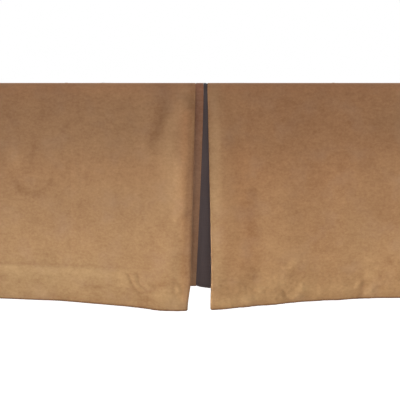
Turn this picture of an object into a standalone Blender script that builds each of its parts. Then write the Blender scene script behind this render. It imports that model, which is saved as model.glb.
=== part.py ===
"""A queen-size tailored bed skirt on a plain bed base, in metres, +Z up.

The origin is on the floor under the middle of the whole thing and the foot end faces -Y.  Six
drops of tan cloth and five dark inserts are sewn round a white deck that lies on the base.
The foot and both long sides have an inverted pleat in the middle, and the two corners at the foot
are split over an insert of their own.

A point of the skirt is given by its side, its distance t along that side, its share of the way
down the drop, and its distance n out of the base's face.
"""

import math

import bmesh
import bpy
from mathutils import Vector

# The bed base: a queen box foundation on six legs.
BASE_WIDTH = 1.524
BASE_LENGTH = 2.032
BASE_HEIGHT = 0.203
CORNER_RADIUS = 0.040
EDGE_RADIUS = 0.012
LEG_HEIGHT = 0.185
LEG_TOP_RADIUS = 0.030
LEG_FOOT_RADIUS = 0.022
LEG_INSET = 0.085
BASE_TOP = LEG_HEIGHT + BASE_HEIGHT
BASE_SHIFT = 0.030  # only the foot end has a skirt across it, so the base sits this far back

# The cloth, and how its layers stack: each layer is a distance from the base to its middle.
# Round the base's edge they stand 2 mm clear of it, and at the seam they lie down on it.
CLOTH = 0.0012
HEM_CLOTH = 0.0024
DECK_CLOTH = 0.0010
TOUCH_GAP = 0.0003
BACK_LAYER = 0.0026
MIDDLE_LAYER = 0.0041
FRONT_LAYER = 0.0056
SEAM_LAYER = TOUCH_GAP + CLOTH / 2
SEAM_SINK = BACK_LAYER - SEAM_LAYER
SIDE_HEM_LIFT = 0.0006

# The drop, from its seam with the deck to its hem just off the floor.
EDGE_TOP = BASE_TOP - EDGE_RADIUS
TOP_BAND = 0.014
FACE_HEM_Z = 0.0115
INSERT_HEM_Z = 0.0255
INSERT_SAG = 0.0042
HEM_DEPTH = 0.055
INSERT_HEM_DEPTH = 0.008
HEM_STEP = 0.004
HEM_FLARE = 0.022
FLARE_POWER = 1.12

# The drop's outer end: a side hem that meets the next drop at a corner or stops at the head.
SIDE_HEM_WIDTH = 0.035
CORNER_PULL = 0.006
CORNER_REACH = 0.200
CORNER_GAP = 0.010
CORNER_INSERT_REACH = 0.110
HEAD_END_BACK = 0.045

# The inverted pleats.
RETURN_WIDTH = 0.090
STACK_EASE = 0.030
INSERT_FAR_EDGE = 0.084
INNER_FOLD_RADIUS = 0.003

# One row for each drop at its pleat: where its fold lies at the top and at the hem, how far the
# fold swings out and droops at the hem, how round it is, and which fall its swing dies away by.
FOLD_COLUMNS = ("side", "hand", "top", "hem", "kick", "swing", "droop", "round", "fall")
FOLD_ROWS = (
    ("foot", -1, -0.0118, -0.0190, -0.0047, 0.0380, 0.0074, 0.0080, "bell"),
    ("foot", 1, 0.0123, 0.0200, 0.0001, 0.0335, 0.0081, 0.0028, "slope"),
    ("left", -1, -0.0110, -0.0175, -0.0010, 0.0300, 0.0040, 0.0050, "slope"),
    ("left", 1, 0.0105, 0.0165, 0.0015, 0.0340, 0.0048, 0.0040, "bell"),
    ("right", -1, -0.0100, -0.0185, -0.0015, 0.0340, 0.0050, 0.0040, "bell"),
    ("right", 1, 0.0115, 0.0180, 0.0010, 0.0280, 0.0038, 0.0060, "slope"),
)
FOLDS = {row[:2]: dict(zip(FOLD_COLUMNS, row)) for row in FOLD_ROWS}

# How much of a fold's swing is left at a distance from it, in the two falls.
FALL_COLUMNS = ("away", "bell", "slope")
FALL_ROWS = (
    (0.000, 1.00, 1.00),
    (0.042, 0.99, 0.85),
    (0.080, 0.80, 0.69),
    (0.120, 0.63, 0.52),
    (0.160, 0.47, 0.36),
    (0.200, 0.34, 0.25),
    (0.240, 0.23, 0.16),
    (0.280, 0.15, 0.06),
    (0.320, 0.08, 0.01),
    (0.370, 0.00, 0.00),
)
CALM_REACH = 0.330

# Where each pleat's insert is sewn to the drop on its low side, at the top and at the hem.
INSERT_SEAMS = {"foot": (0.0061, -0.0069), "left": (0.0040, -0.0050), "right": (0.0050, -0.0030)}
SEAM_POWER = 1.3

# Soft waves along the hem: the length, size and place of each.
WAVES = ((0.410, 0.0022, 0.3), (0.236, 0.0013, 1.9), (0.151, 0.0007, 4.1))

# One row for each soft trough: its side, its two ends (along the side, height), width and depth.
TROUGH_COLUMNS = ("side", "top_t", "top_z", "foot_t", "foot_z", "width", "depth")
TROUGH_ROWS = (
    ("foot", -0.055, 0.380, -0.092, 0.285, 0.024, 0.0035),
    ("foot", 0.075, 0.240, 0.072, 0.040, 0.022, 0.0020),
    ("foot", 0.560, 0.330, 0.500, 0.030, 0.040, 0.0040),
    ("foot", -0.520, 0.340, -0.560, 0.030, 0.045, 0.0040),
    ("left", -0.420, 0.350, -0.470, 0.030, 0.045, 0.0045),
    ("left", 0.360, 0.350, 0.410, 0.030, 0.050, 0.0045),
    ("right", -0.610, 0.350, -0.560, 0.030, 0.045, 0.0045),
    ("right", 0.480, 0.350, 0.520, 0.030, 0.050, 0.0045),
)
TROUGHS = [dict(zip(TROUGH_COLUMNS, row)) for row in TROUGH_ROWS]

# Each side of the base: its middle, the way t runs along it, the way out, and half its length.
SIDES = {
    "foot": ((0, -BASE_LENGTH / 2), (1, 0), (0, -1), BASE_WIDTH / 2),
    "right": ((BASE_WIDTH / 2, 0), (0, 1), (1, 0), BASE_LENGTH / 2),
    "left": ((-BASE_WIDTH / 2, 0), (0, -1), (-1, 0), BASE_LENGTH / 2),
}
QUARTER = (CORNER_RADIUS + FRONT_LAYER) * math.pi / 4  # from the end of a straight to a corner

# The grid of each piece of cloth: distances of its first columns from its outer end, and of its
# last ones from its fold, with even ones between; then the columns round the pleat.
CORNER_END = (0.0, 0.0075, 0.015, 0.0225, 0.030, SIDE_HEM_WIDTH, 0.041, 0.116, 0.148)
HEAD_END = (0.0, SIDE_HEM_WIDTH, 0.041)
SIDE_HEM_COLUMNS = {"corner": 6, "head": 2}
FOLD_END = (0.130, 0.100, 0.070, 0.035, 0.014, 0.0)
FOOT_GRID = {"even": 13, "fold": 5, "return": 3, "inner": 4, "back": 2, "rows": 9}
SIDE_GRID = {"even": 11, "fold": 5, "return": 3, "inner": 4, "back": 2, "rows": 8}

TAN = ("skirt_tan_suede", (0.41, 0.245, 0.125), 0.85)
DARK = ("pleat_dark_cloth", (0.060, 0.044, 0.044), 0.80)
WHITE = ("deck_white_cotton", (0.80, 0.79, 0.76), 0.90)
TICKING = ("base_grey_ticking", (0.62, 0.61, 0.59), 0.88)
WOOD = ("leg_dark_wood", (0.060, 0.038, 0.026), 0.45)


def clear_scene():
    for old in list(bpy.data.objects):
        bpy.data.objects.remove(old, do_unlink=True)


def material(name, colour, roughness):
    found = bpy.data.materials.get(name) or bpy.data.materials.new(name)
    found.use_nodes = True
    shader = found.node_tree.nodes["Principled BSDF"]
    shader.inputs["Base Color"].default_value = (*colour, 1)
    shader.inputs["Roughness"].default_value = roughness
    shader.inputs["Metallic"].default_value = 0
    return found


def smooth(x):
    x = min(1.0, max(0.0, x))
    return x * x * (3 - 2 * x)


def spaced(start, end, count):
    """Even values from start to end, with both of them in it."""
    return [start + (end - start) * i / (count - 1) for i in range(count)]


def in_plan(side, t, out):
    """The place in plan of a point t along a side and out of its face, round the corners too."""
    middle, along, outward, half = SIDES[side]
    start = half - CORNER_RADIUS
    if abs(t) <= start:
        across, away = t, out
    else:
        turn = (abs(t) - start) / (CORNER_RADIUS + max(out, FRONT_LAYER))
        across = math.copysign(start + (CORNER_RADIUS + out) * math.sin(turn), t)
        away = -CORNER_RADIUS + (CORNER_RADIUS + out) * math.cos(turn)
    x, y = (middle[k] + along[k] * across + outward[k] * away for k in (0, 1))
    return x, y + BASE_SHIFT


def over_edge(turn, n, back=0.0):
    """Distance out and height of a point n off the base's top edge, back from it or round it."""
    radius = EDGE_RADIUS + n
    return -EDGE_RADIUS - back + radius * math.sin(turn), EDGE_TOP + radius * math.cos(turn)


def insert_seam(side, share):
    """Where a pleat's insert meets the back layer of the drop on its low side."""
    top, hem = INSERT_SEAMS[side]
    return top + (hem - top) * share**SEAM_POWER


def trough_depth(side, t, z):
    depth = 0
    for row in TROUGHS:
        if row["side"] != side:
            continue
        top = Vector((row["top_t"], row["top_z"]))
        line = Vector((row["foot_t"], row["foot_z"])) - top
        share = min(1.0, max(0.0, (Vector((t, z)) - top).dot(line) / line.length_squared))
        away = (Vector((t, z)) - top - line * share).length
        depth += row["depth"] * math.exp(-((away / row["width"]) ** 2))
    return depth


class Drop:
    """One drop of tan cloth, from the outer end of its side to the pleat in the middle.

    Its hand is -1 where the pleat is at its high end, and 1 where it is at its low end.
    """

    def __init__(self, side, hand, outer, grid):
        self.side = side
        self.hand = hand
        self.outer = outer
        self.grid = grid
        self.row = FOLDS[side, hand]
        half = SIDES[side][3]
        reach = half - HEAD_END_BACK
        if outer == "corner":
            reach = half - CORNER_RADIUS + QUARTER - CORNER_GAP / 2
        self.end = hand * reach

    def fold(self, share):
        """Where the fold lies along the side; it kicks away from the slit near the hem."""
        kick = self.row["kick"] * smooth((share - 0.9) / 0.1)
        return self.row["top"] + (self.row["hem"] - self.row["top"]) * share + kick

    def near_fold(self, t, share):
        """1 at the fold, dying away along the side."""
        away = abs(t - self.fold(share))
        column = FALL_COLUMNS.index(self.row["fall"])
        for near, far in zip(FALL_ROWS, FALL_ROWS[1:]):
            if away < far[0]:
                return near[column] + (far[column] - near[column]) * (away - near[0]) / (far[0] - near[0])
        return 0.0

    def side_hem(self, t):
        return 1 - smooth((abs(self.end - t) - SIDE_HEM_WIDTH) / 0.006)

    def seam_layer(self, t):
        """How far above the base the drop's seam with the deck lies, over what is under it."""
        over_pleat = 1 - smooth((abs(t - self.row["top"]) - RETURN_WIDTH - 0.006) / STACK_EASE)
        over_corner = 0.0
        if self.outer == "corner":
            over_corner = 1 - smooth((abs(self.end - t) - CORNER_INSERT_REACH - 0.006) / STACK_EASE)
        lift = (FRONT_LAYER - BACK_LAYER) * over_pleat + (MIDDLE_LAYER - BACK_LAYER) * over_corner
        return SEAM_LAYER + lift + SIDE_HEM_LIFT * self.side_hem(t)

    def hem_z(self, t):
        return FACE_HEM_Z - self.row["droop"] * self.near_fold(t, 1) + 0.0008 * math.sin(t * 33 + 0.7)

    def out(self, t, share):
        """How far out of the base's face the face of the drop hangs."""
        top = FRONT_LAYER + SIDE_HEM_LIFT * self.side_hem(t)
        near = self.near_fold(t, share)
        corner = 0.0
        if self.outer == "corner":
            corner = CORNER_PULL * (1 - smooth(abs(self.end - t) / CORNER_REACH))
        wave = sum(size * math.sin(2 * math.pi * t / length + place) for length, size, place in WAVES)
        wave *= smooth((abs(t) - CALM_REACH) / 0.12)
        hem = HEM_FLARE + self.row["swing"] * near - corner + wave
        z = EDGE_TOP + (self.hem_z(t) - EDGE_TOP) * share
        hang = top + (hem - top) * share**FLARE_POWER
        return max(top, hang - trough_depth(self.side, t, z) * smooth(share / 0.25))

    def turn_at_fold(self, depth, radii):
        """How far the cloth turns at its fold, for the return to end in the back layer."""
        low, high = math.radians(95), math.pi
        for _ in range(50):
            turn = (low + high) / 2
            if radii * (1 - math.cos(turn)) + RETURN_WIDTH * math.sin(turn) > depth:
                low = turn
            else:
                high = turn
        return high

    def back_seam(self, share):
        """Where the drop's cloth ends in the back layer of the pleat."""
        if self.hand < 0:
            return insert_seam(self.side, share) - TOUCH_GAP / 2
        return INSERT_FAR_EDGE + TOUCH_GAP / 2

    def front_columns(self):
        """Distances of the front's columns from its outer end, as shares of its width."""
        first = CORNER_END if self.outer == "corner" else HEAD_END
        width = abs(self.end - self.row["top"])
        even = spaced(first[-1], width - FOLD_END[0], self.grid["even"])[1:-1]
        return [d / width for d in (*first, *even, *(width - d for d in FOLD_END))]

    def path(self, share):
        """The drop in plan at one level: its distance along, its distance out, its hem's height."""
        along = -self.hand
        fold = self.fold(share)
        radius = min(self.row["round"], (self.out(fold, share) - BACK_LAYER) / 4)
        start = fold - along * radius
        points = []
        for k in self.front_columns():
            t = self.end + (start - self.end) * k
            points.append((t, self.out(t, share), self.hem_z(t)))
        depth = points[-1][1] - BACK_LAYER
        inner = min(INNER_FOLD_RADIUS, depth / 4)
        turn = self.turn_at_fold(depth, radius + inner)
        hem = self.hem_z(fold)
        t, n = points[-1][:2]
        for a in spaced(0, turn, self.grid["fold"])[1:]:
            points.append((t + along * radius * math.sin(a), n - radius * (1 - math.cos(a)), hem))
        t, n = points[-1][:2]
        for k in spaced(0, RETURN_WIDTH, self.grid["return"])[1:]:
            rise = (INSERT_HEM_Z - hem) * k / RETURN_WIDTH
            points.append((t + along * k * math.cos(turn), n - k * math.sin(turn), hem + rise))
        t, n = points[-1][:2]
        for a in spaced(turn, 0, self.grid["inner"])[1:]:
            across = along * inner * (math.sin(turn) - math.sin(a))
            points.append((t + across, n - inner * (math.cos(a) - math.cos(turn)), INSERT_HEM_Z))
        t, n = points[-1][:2]
        for k in spaced(t, self.back_seam(share), self.grid["back"])[1:]:
            points.append((k, n, INSERT_HEM_Z))
        return points


def hanging_rows(side, path, seam, shares):
    """A grid of points of hanging cloth, from its seam on the deck over the edge to its hem."""
    top = path(0)
    band = [over_edge(0, seam(i, t, n), TOP_BAND) for i, (t, n, _) in enumerate(top)]
    rows = [[(*in_plan(side, p[0], out), z) for p, (out, z) in zip(top, band)]]
    for degrees in (0, 30, 60, 90):
        turned = [(t, over_edge(math.radians(degrees), n)) for t, n, _ in top]
        rows.append([(*in_plan(side, t, out), z) for t, (out, z) in turned])
    for share in shares:
        level = path(share)
        rows.append([(*in_plan(side, t, n), EDGE_TOP + (z - EDGE_TOP) * share) for t, n, z in level])
    return rows


def fall_shares(count, hem_depth, hem_z):
    """How far down each row of the grid lies, with two rows close together above the hem."""
    height = EDGE_TOP - hem_z
    hem = 1 - hem_depth / height
    return spaced(0, hem, count)[1:] + [hem + HEM_STEP / height, (hem + 1) / 2, 1.0]


def sheet(name, rows, double, paint, flip=False):
    """A sheet of cloth through a grid of points, twice as thick where it is turned up double."""
    mesh = bpy.data.meshes.new(name)
    bm = bmesh.new()
    grid = [[bm.verts.new(point) for point in row] for row in rows]
    for upper, lower in zip(grid, grid[1:]):
        for i in range(len(upper) - 1):
            corners = [upper[i], lower[i], lower[i + 1], upper[i + 1]]
            bm.faces.new(corners[::-1] if flip else corners)
    bm.to_mesh(mesh)
    bm.free()
    mesh.materials.append(material(*paint))
    cloth = bpy.data.objects.new(name, mesh)
    bpy.context.scene.collection.objects.link(cloth)
    hem = cloth.vertex_groups.new(name="hem")
    width = len(rows[0])
    turned_up = [r * width + c for r in range(len(rows)) for c in range(width) if double(r, c)]
    hem.add(turned_up, 1.0, "ADD")
    body = cloth.modifiers.new("cloth", "SOLIDIFY")
    body.thickness = HEM_CLOTH
    body.offset = 0
    body.vertex_group = hem.name
    body.thickness_vertex_group = CLOTH / HEM_CLOTH
    mesh.shade_smooth()
    return cloth


def build_drop(name, side, hand, outer, grid):
    drop = Drop(side, hand, outer, grid)
    fronts = drop.front_columns()
    hem_columns = SIDE_HEM_COLUMNS[outer]
    shares = fall_shares(grid["rows"], HEM_DEPTH, FACE_HEM_Z)

    def seam(i, t, n):
        return drop.seam_layer(t) if i < len(fronts) else n - SEAM_SINK

    rows = hanging_rows(side, drop.path, seam, shares)
    sheet(name, rows, lambda r, c: r >= len(rows) - 3 or c < hem_columns, TAN, flip=hand > 0)


def build_pleat_insert(name, side):
    """The dark cloth at the back of a pleat, seen through its slit."""

    def path(share):
        start = insert_seam(side, share) + TOUCH_GAP / 2
        end = INSERT_FAR_EDGE - TOUCH_GAP / 2
        level = []
        for k in spaced(0, 1, 4):
            sag = INSERT_SAG * math.sin(math.pi * k)
            level.append((start + (end - start) * k, BACK_LAYER, INSERT_HEM_Z - sag))
        return level

    shares = fall_shares(6, INSERT_HEM_DEPTH, INSERT_HEM_Z)
    rows = hanging_rows(side, path, lambda i, t, n: n - SEAM_SINK, shares)
    sheet(name, rows, lambda r, c: r >= len(rows) - 3, DARK)


def build_corner_insert(name, first, second):
    """The dark cloth round a corner, from one side onto the next, behind the split."""
    corners = []
    for side, sign in ((first, 1), (second, -1)):
        straight = SIDES[side][3] - CORNER_RADIUS
        near = straight + QUARTER - CORNER_INSERT_REACH
        arc = spaced(straight, straight + QUARTER, 5)
        columns = [(side, sign * t, BACK_LAYER, INSERT_HEM_Z) for t in (near, (near + arc[0]) / 2, *arc)]
        corners.append(columns)
    columns = corners[0] + corners[1][:-1][::-1]
    rows = []
    for turn, back in ((0, TOP_BAND), (0, 0), (30, 0), (60, 0), (90, 0)):
        out, z = over_edge(math.radians(turn), SEAM_LAYER if back else BACK_LAYER, back)
        rows.append([(*in_plan(side, t, out), z) for side, t, _, _ in columns])
    for share in fall_shares(6, INSERT_HEM_DEPTH, INSERT_HEM_Z):
        z = EDGE_TOP + (INSERT_HEM_Z - EDGE_TOP) * share
        rows.append([(*in_plan(side, t, n), z) for side, t, n, _ in columns])
    sheet(name, rows, lambda r, c: r >= len(rows) - 3, DARK)


def slab(name, rings, paint, head=0.0):
    """A flat-topped body with the base's plan: each ring is an inset from it and a height.

    Its head end can reach further than the inset leaves it.
    """
    bm = bmesh.new()
    loops = []
    for inset, z in rings:
        loop = []
        for quarter in range(4):
            across = (BASE_WIDTH / 2 - CORNER_RADIUS) * (1 if quarter in (0, 3) else -1)
            along = (BASE_LENGTH / 2 - CORNER_RADIUS) * (1 if quarter < 2 else -1)
            for a in spaced(quarter * 90, quarter * 90 + 90, 7):
                radius = CORNER_RADIUS - inset
                x = across + radius * math.cos(math.radians(a))
                y = along + radius * math.sin(math.radians(a))
                loop.append(bm.verts.new((x, y + BASE_SHIFT + (head if quarter < 2 else 0), z)))
        loops.append(loop)
    for lower, upper in zip(loops, loops[1:]):
        for i in range(len(lower)):
            j = (i + 1) % len(lower)
            bm.faces.new((lower[i], lower[j], upper[j], upper[i]))
    bm.faces.new(loops[0][::-1])
    bm.faces.new(loops[-1])
    mesh = bpy.data.meshes.new(name)
    bm.to_mesh(mesh)
    bm.free()
    mesh.materials.append(material(*paint))
    bpy.context.scene.collection.objects.link(bpy.data.objects.new(name, mesh))


def build_base():
    """The box foundation, with its top and bottom edges rounded."""
    rings = []
    for a in (0, 30, 60, 90):
        inset = EDGE_RADIUS * (1 - math.sin(math.radians(a)))
        rings.append((inset, LEG_HEIGHT + EDGE_RADIUS * (1 - math.cos(math.radians(a)))))
    rings += [(inset, LEG_HEIGHT + BASE_TOP - z) for inset, z in rings[::-1]]
    slab("bed_base", rings, TICKING)


def build_deck():
    """The white cloth that lies on the base under the mattress, with the drops sewn round it."""
    inset = EDGE_RADIUS + TOP_BAND + TOUCH_GAP
    bottom = BASE_TOP + TOUCH_GAP
    slab("deck", [(inset, bottom), (inset, bottom + DECK_CLOTH)], WHITE, head=TOP_BAND - 0.001)


def build_leg(name, x, y):
    height = LEG_HEIGHT - TOUCH_GAP
    bpy.ops.mesh.primitive_cone_add(
        vertices=20,
        radius1=LEG_FOOT_RADIUS,
        radius2=LEG_TOP_RADIUS,
        depth=height,
        location=(x, y + BASE_SHIFT, height / 2),
    )
    leg = bpy.context.object
    leg.name = name
    leg.data.materials.append(material(*WOOD))


def build_skirt():
    build_drop("foot_drop_left", "foot", -1, "corner", FOOT_GRID)
    build_drop("foot_drop_right", "foot", 1, "corner", FOOT_GRID)
    build_drop("left_drop_head", "left", -1, "head", SIDE_GRID)
    build_drop("left_drop_foot", "left", 1, "corner", SIDE_GRID)
    build_drop("right_drop_foot", "right", -1, "corner", SIDE_GRID)
    build_drop("right_drop_head", "right", 1, "head", SIDE_GRID)
    build_pleat_insert("foot_insert", "foot")
    build_pleat_insert("left_insert", "left")
    build_pleat_insert("right_insert", "right")
    build_corner_insert("corner_insert_left", "left", "foot")
    build_corner_insert("corner_insert_right", "foot", "right")


def build_legs():
    across = BASE_WIDTH / 2 - LEG_INSET
    along = BASE_LENGTH / 2 - LEG_INSET
    for place, y in (("foot", -along), ("middle", 0.0), ("head", along)):
        build_leg(f"leg_{place}_left", -across, y)
        build_leg(f"leg_{place}_right", across, y)


def main():
    clear_scene()
    build_base()
    build_legs()
    build_deck()
    build_skirt()


main()
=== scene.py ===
import math

import bmesh
import bpy
import numpy as np
from mathutils import Matrix, Vector


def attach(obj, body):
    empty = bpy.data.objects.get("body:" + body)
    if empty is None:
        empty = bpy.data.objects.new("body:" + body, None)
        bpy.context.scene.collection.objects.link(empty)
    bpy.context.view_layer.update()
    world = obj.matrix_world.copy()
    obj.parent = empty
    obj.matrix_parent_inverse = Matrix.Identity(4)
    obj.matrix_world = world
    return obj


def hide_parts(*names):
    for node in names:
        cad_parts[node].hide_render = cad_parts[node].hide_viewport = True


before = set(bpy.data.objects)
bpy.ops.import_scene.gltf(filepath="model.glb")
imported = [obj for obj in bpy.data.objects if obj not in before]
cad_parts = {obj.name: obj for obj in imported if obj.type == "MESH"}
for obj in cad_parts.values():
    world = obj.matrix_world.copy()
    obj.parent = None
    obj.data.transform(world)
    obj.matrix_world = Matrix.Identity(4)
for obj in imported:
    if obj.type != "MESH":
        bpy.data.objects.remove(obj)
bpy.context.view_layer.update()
# cells and steps are this much longer in a quick try
easy = 1
print("frame loaded")

# sizes shared by every piece, in metres
bed = {"width": 1.524, "length": 2.032, "corner": 0.040, "edge": 0.012, "top": 0.388, "legs": 0.185,
       "shift": 0.030}
layers = {"cloth": 0.0012, "hem": 0.0024, "gap": 0.0003, "back": 0.0026, "middle": 0.0041,
          "front": 0.0056, "sideHemLift": 0.0006}
skirt = {"band": 0.014, "faceHem": 0.0115, "insertHem": 0.0255, "insertSag": 0.0042, "hemDepth": 0.0635,
         "hemFlare": 0.022, "flarePower": 1.12, "sideHem": 0.035, "cornerPull": 0.006,
         "cornerReach": 0.200, "cornerGap": 0.010, "cornerInsert": 0.110, "headBack": 0.045,
         "returnWidth": 0.090, "returnClear": 0.0015, "backLayer": 0.110, "backSeam": 0.020,
         "stackEase": 0.030, "beside": 0.006, "insertFar": 0.084, "innerRound": 0.003,
         "seamPower": 1.3, "easeIn": (0, 0.06)}
edgeTop = bed["top"] - bed["edge"]
seamLow = layers["gap"] + layers["cloth"] / 2
quarter = (bed["corner"] + layers["front"]) * math.pi / 4

# each side: its middle, the way along it, the way out of it, half its length
sides = {"foot": ((0, -bed["length"] / 2), (1, 0), (0, -1), bed["width"] / 2),
         "right": ((bed["width"] / 2, 0), (0, 1), (1, 0), bed["length"] / 2),
         "left": ((-bed["width"] / 2, 0), (0, -1), (-1, 0), bed["length"] / 2)}
insertSeams = {"foot": (0.0061, -0.0078), "left": (0.0040, -0.0050), "right": (0.0050, -0.0030)}

# how much of a fold's swing is left at a distance from it
fallAway = np.array([0.0, 0.042, 0.080, 0.120, 0.160, 0.200, 0.240, 0.280, 0.320, 0.370])
falls = {"bell": np.array([1.0, 0.99, 0.80, 0.63, 0.47, 0.34, 0.23, 0.15, 0.08, 0.0]),
         "slope": np.array([1.0, 0.85, 0.69, 0.52, 0.36, 0.25, 0.16, 0.06, 0.01, 0.0])}


def smooth(x):
    x = np.clip(x, 0.0, 1.0)
    return x * x * (3 - 2 * x)


def ramp(x, start, reach):
    # a soft rise from 0 at the start to 1 a reach further on
    return smooth((x - start) / reach)


def mix(low, high, share):
    return low + (high - low) * share


def pairs(a, b):
    # a grid of two numbers at each point
    return np.stack(np.broadcast_arrays(a, b), axis=-1)


def softTable(x, knots, values):
    # a smooth curve through a short table, with the slopes of its neighbours
    slopes = np.gradient(values, knots)
    i = np.clip(np.searchsorted(knots, x) - 1, 0, len(knots) - 2)
    step = knots[i + 1] - knots[i]
    u = np.clip((x - knots[i]) / step, 0, 1)
    start = (1 + 2 * u) * (1 - u) ** 2 * values[i] + u * (1 - u) ** 2 * step * slopes[i]
    return start + u * u * (3 - 2 * u) * values[i + 1] + u * u * (u - 1) * step * slopes[i + 1]


def streak(distance, strength, place, reach):
    # a soft line's strength at a distance
    return strength * np.exp(-(((distance - place) / reach) ** 2))


def inPlan(side, t, out):
    # a point t along a side and out of its face, carried round the rounded corners
    middle, along, outward, half = sides[side]
    start = half - bed["corner"]
    turn = np.maximum(np.abs(t) - start, 0) / (bed["corner"] + np.maximum(out, layers["front"]))
    radius = bed["corner"] + out
    across = np.sign(t) * (np.minimum(np.abs(t), start) + radius * np.sin(turn))
    away = radius * np.cos(turn) - bed["corner"]
    x = middle[0] + along[0] * across + outward[0] * away
    y = middle[1] + along[1] * across + outward[1] * away + bed["shift"]
    return x, y


# unevenness is made of low waves in scattered directions: a few of each length, some shorter or longer
scatter = {"waves": 5, "shortest": 0.75, "longest": 1.35}


def ripple(u, v, waves, seed):
    # the same waves on every run
    chance = np.random.RandomState(seed)
    total = np.zeros(np.broadcast(u, v).shape)
    for length, size, stretch in waves:
        for _ in range(scatter["waves"]):
            angle = chance.uniform(0, math.pi)
            place = chance.uniform(0, 2 * math.pi)
            scale = chance.uniform(scatter["shortest"], scatter["longest"]) * length
            across = math.cos(angle) * u + math.sin(angle) * v / stretch
            total += size * np.sin(2 * math.pi * across / scale + place) / math.sqrt(scatter["waves"])
    return total


# lines narrower than this fade out at their ends, over this many times their width but over no
# more than a part of their length
narrow = {"line": 0.008, "taper": 2.5, "part": 2.5}


def drawnLines(rows, t, z, taper=0.0):
    # soft lines on the cloth: the points along each, its width, and how strong it is
    total = np.zeros(np.broadcast(t, z).shape)
    for points, width, strength in rows:
        nearest = np.full(total.shape, np.inf)
        passed = np.zeros(total.shape)
        length = 0.0
        for (ta, za), (tb, zb) in zip(points, points[1:]):
            lt, lz = tb - ta, zb - za
            share = np.clip(((t - ta) * lt + (z - za) * lz) / (lt * lt + lz * lz), 0, 1)
            away = np.hypot(t - ta - lt * share, z - za - lz * share)
            passed = np.where(away < nearest, length + share * math.hypot(lt, lz), passed)
            nearest = np.minimum(nearest, away)
            length += math.hypot(lt, lz)
        drawn = streak(nearest, strength, 0, width)
        if taper and width < narrow["line"]:
            fade = min(taper * width, length / narrow["part"])
            drawn *= smooth(np.minimum(passed, length - passed) / fade)
        total += drawn
    return total


def deselect():
    bpy.ops.object.select_all(action="DESELECT")


def applied(piece, kind, **settings):
    # gives a piece a modifier and makes it part of the mesh
    deselect()
    bpy.context.view_layer.objects.active = piece
    piece.select_set(True)
    change = piece.modifiers.new(kind.lower(), kind)
    for setting, value in settings.items():
        setattr(change, setting, value)
    bpy.ops.object.modifier_apply(modifier=change.name)


def addObject(name, data):
    made = bpy.data.objects.new(name, data)
    bpy.context.scene.collection.objects.link(made)
    return made


def dress(piece, *materials):
    piece.data.materials.clear()
    for material in materials:
        piece.data.materials.append(material)


# how a sheet's thickness is stored, and the angle past which its edges are sharp
sheetMake = {"leastShare": 0.2, "sharp": 60}


def sheetFrom(name, points, thick, flip, uv, stitchUv=None, **marks):
    # a closed cloth through a grid of points; thick is its thickness there as a share of a hem's
    rows, columns = points.shape[:2]
    corner = np.arange(rows * columns).reshape(rows, columns)
    quads = [corner[:-1, :-1], corner[1:, :-1], corner[1:, 1:], corner[:-1, 1:]]
    quads = np.stack(quads[::-1] if flip else quads, axis=-1).reshape(-1, 4)
    mesh = bpy.data.meshes.new(name)
    mesh.vertices.add(rows * columns)
    mesh.vertices.foreach_set("co", points.reshape(-1))
    mesh.loops.add(quads.size)
    mesh.loops.foreach_set("vertex_index", quads.reshape(-1))
    mesh.polygons.add(len(quads))
    mesh.polygons.foreach_set("loop_start", np.arange(0, quads.size, 4))
    mesh.update(calc_edges=True)
    for mapName, coords in (("cloth", uv), ("stitch", stitchUv)):
        if coords is not None:
            layer = mesh.uv_layers.new(name=mapName)
            layer.data.foreach_set("uv", coords.reshape(-1, 2)[quads.reshape(-1)].reshape(-1))
    for markName, values in marks.items():
        mesh.attributes.new(markName, "FLOAT", "POINT").data.foreach_set("value", values.reshape(-1))
    piece = addObject(name, mesh)
    group = piece.vertex_groups.new(name="thickness")
    least = sheetMake["leastShare"]
    weights = np.round(np.clip((thick.reshape(-1) - least) / (1 - least), 0, 1), 2)
    for weight in np.unique(weights):
        group.add(np.nonzero(weights == weight)[0].tolist(), float(weight), "REPLACE")
    applied(piece, "SOLIDIFY", thickness=layers["hem"], offset=0, vertex_group=group.name,
            thickness_vertex_group=least)
    piece.data.shade_smooth()
    piece.data.set_sharp_from_angle(angle=math.radians(sheetMake["sharp"]))
    piece.select_set(False)
    return piece


def finishPiece(piece, materials, slotName, node=None, **sheet):
    if materials:
        dress(piece, *materials)
    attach(piece, "root")
    if node:
        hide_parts(node)


# how much of its thickness the cloth has at a distance from a cut or folded edge
thinning = {"away": (0, 0.0004, 0.0010, 0.0020), "share": (0.35, 0.75, 0.92, 1.0)}


def thinEdge(distance):
    return np.interp(distance, thinning["away"], thinning["share"])


# materials: small node recipes that the finishes below share
def feed(tree, made, inputs):
    # each input of a node is set to a number, a colour or a vector, or linked to another's output
    for name, value in inputs.items():
        socket = made.inputs[name]
        if isinstance(value, bpy.types.NodeSocket):
            tree.links.new(value, socket)
        else:
            socket.default_value = (*value, 1) if socket.type == "RGBA" else value


def nodesOf(owner):
    # a function that adds a node to a material or the world and gives one of its outputs
    owner.use_nodes = True

    def node(kind, inputs, output=0, **settings):
        made = owner.node_tree.nodes.new("ShaderNode" + kind)
        for setting, value in settings.items():
            setattr(made, setting, value)
        feed(owner.node_tree, made, inputs)
        return made.outputs[output]

    return node


def finishOf(owner, inputs, last="Principled BSDF"):
    feed(owner.node_tree, owner.node_tree.nodes[last], inputs)
    return owner


def clothCoords(node, uvMap="cloth"):
    return node("UVMap", {}, uv_map=uvMap)


def attribute(node, name):
    return node("Attribute", {}, "Fac", attribute_name=name)


def partOf(node, coords, axis):
    return node("SeparateXYZ", {"Vector": coords}, axis)


# how strong the finer spots of a noise are beside the broader ones
spotRoughness = 0.55


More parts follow.
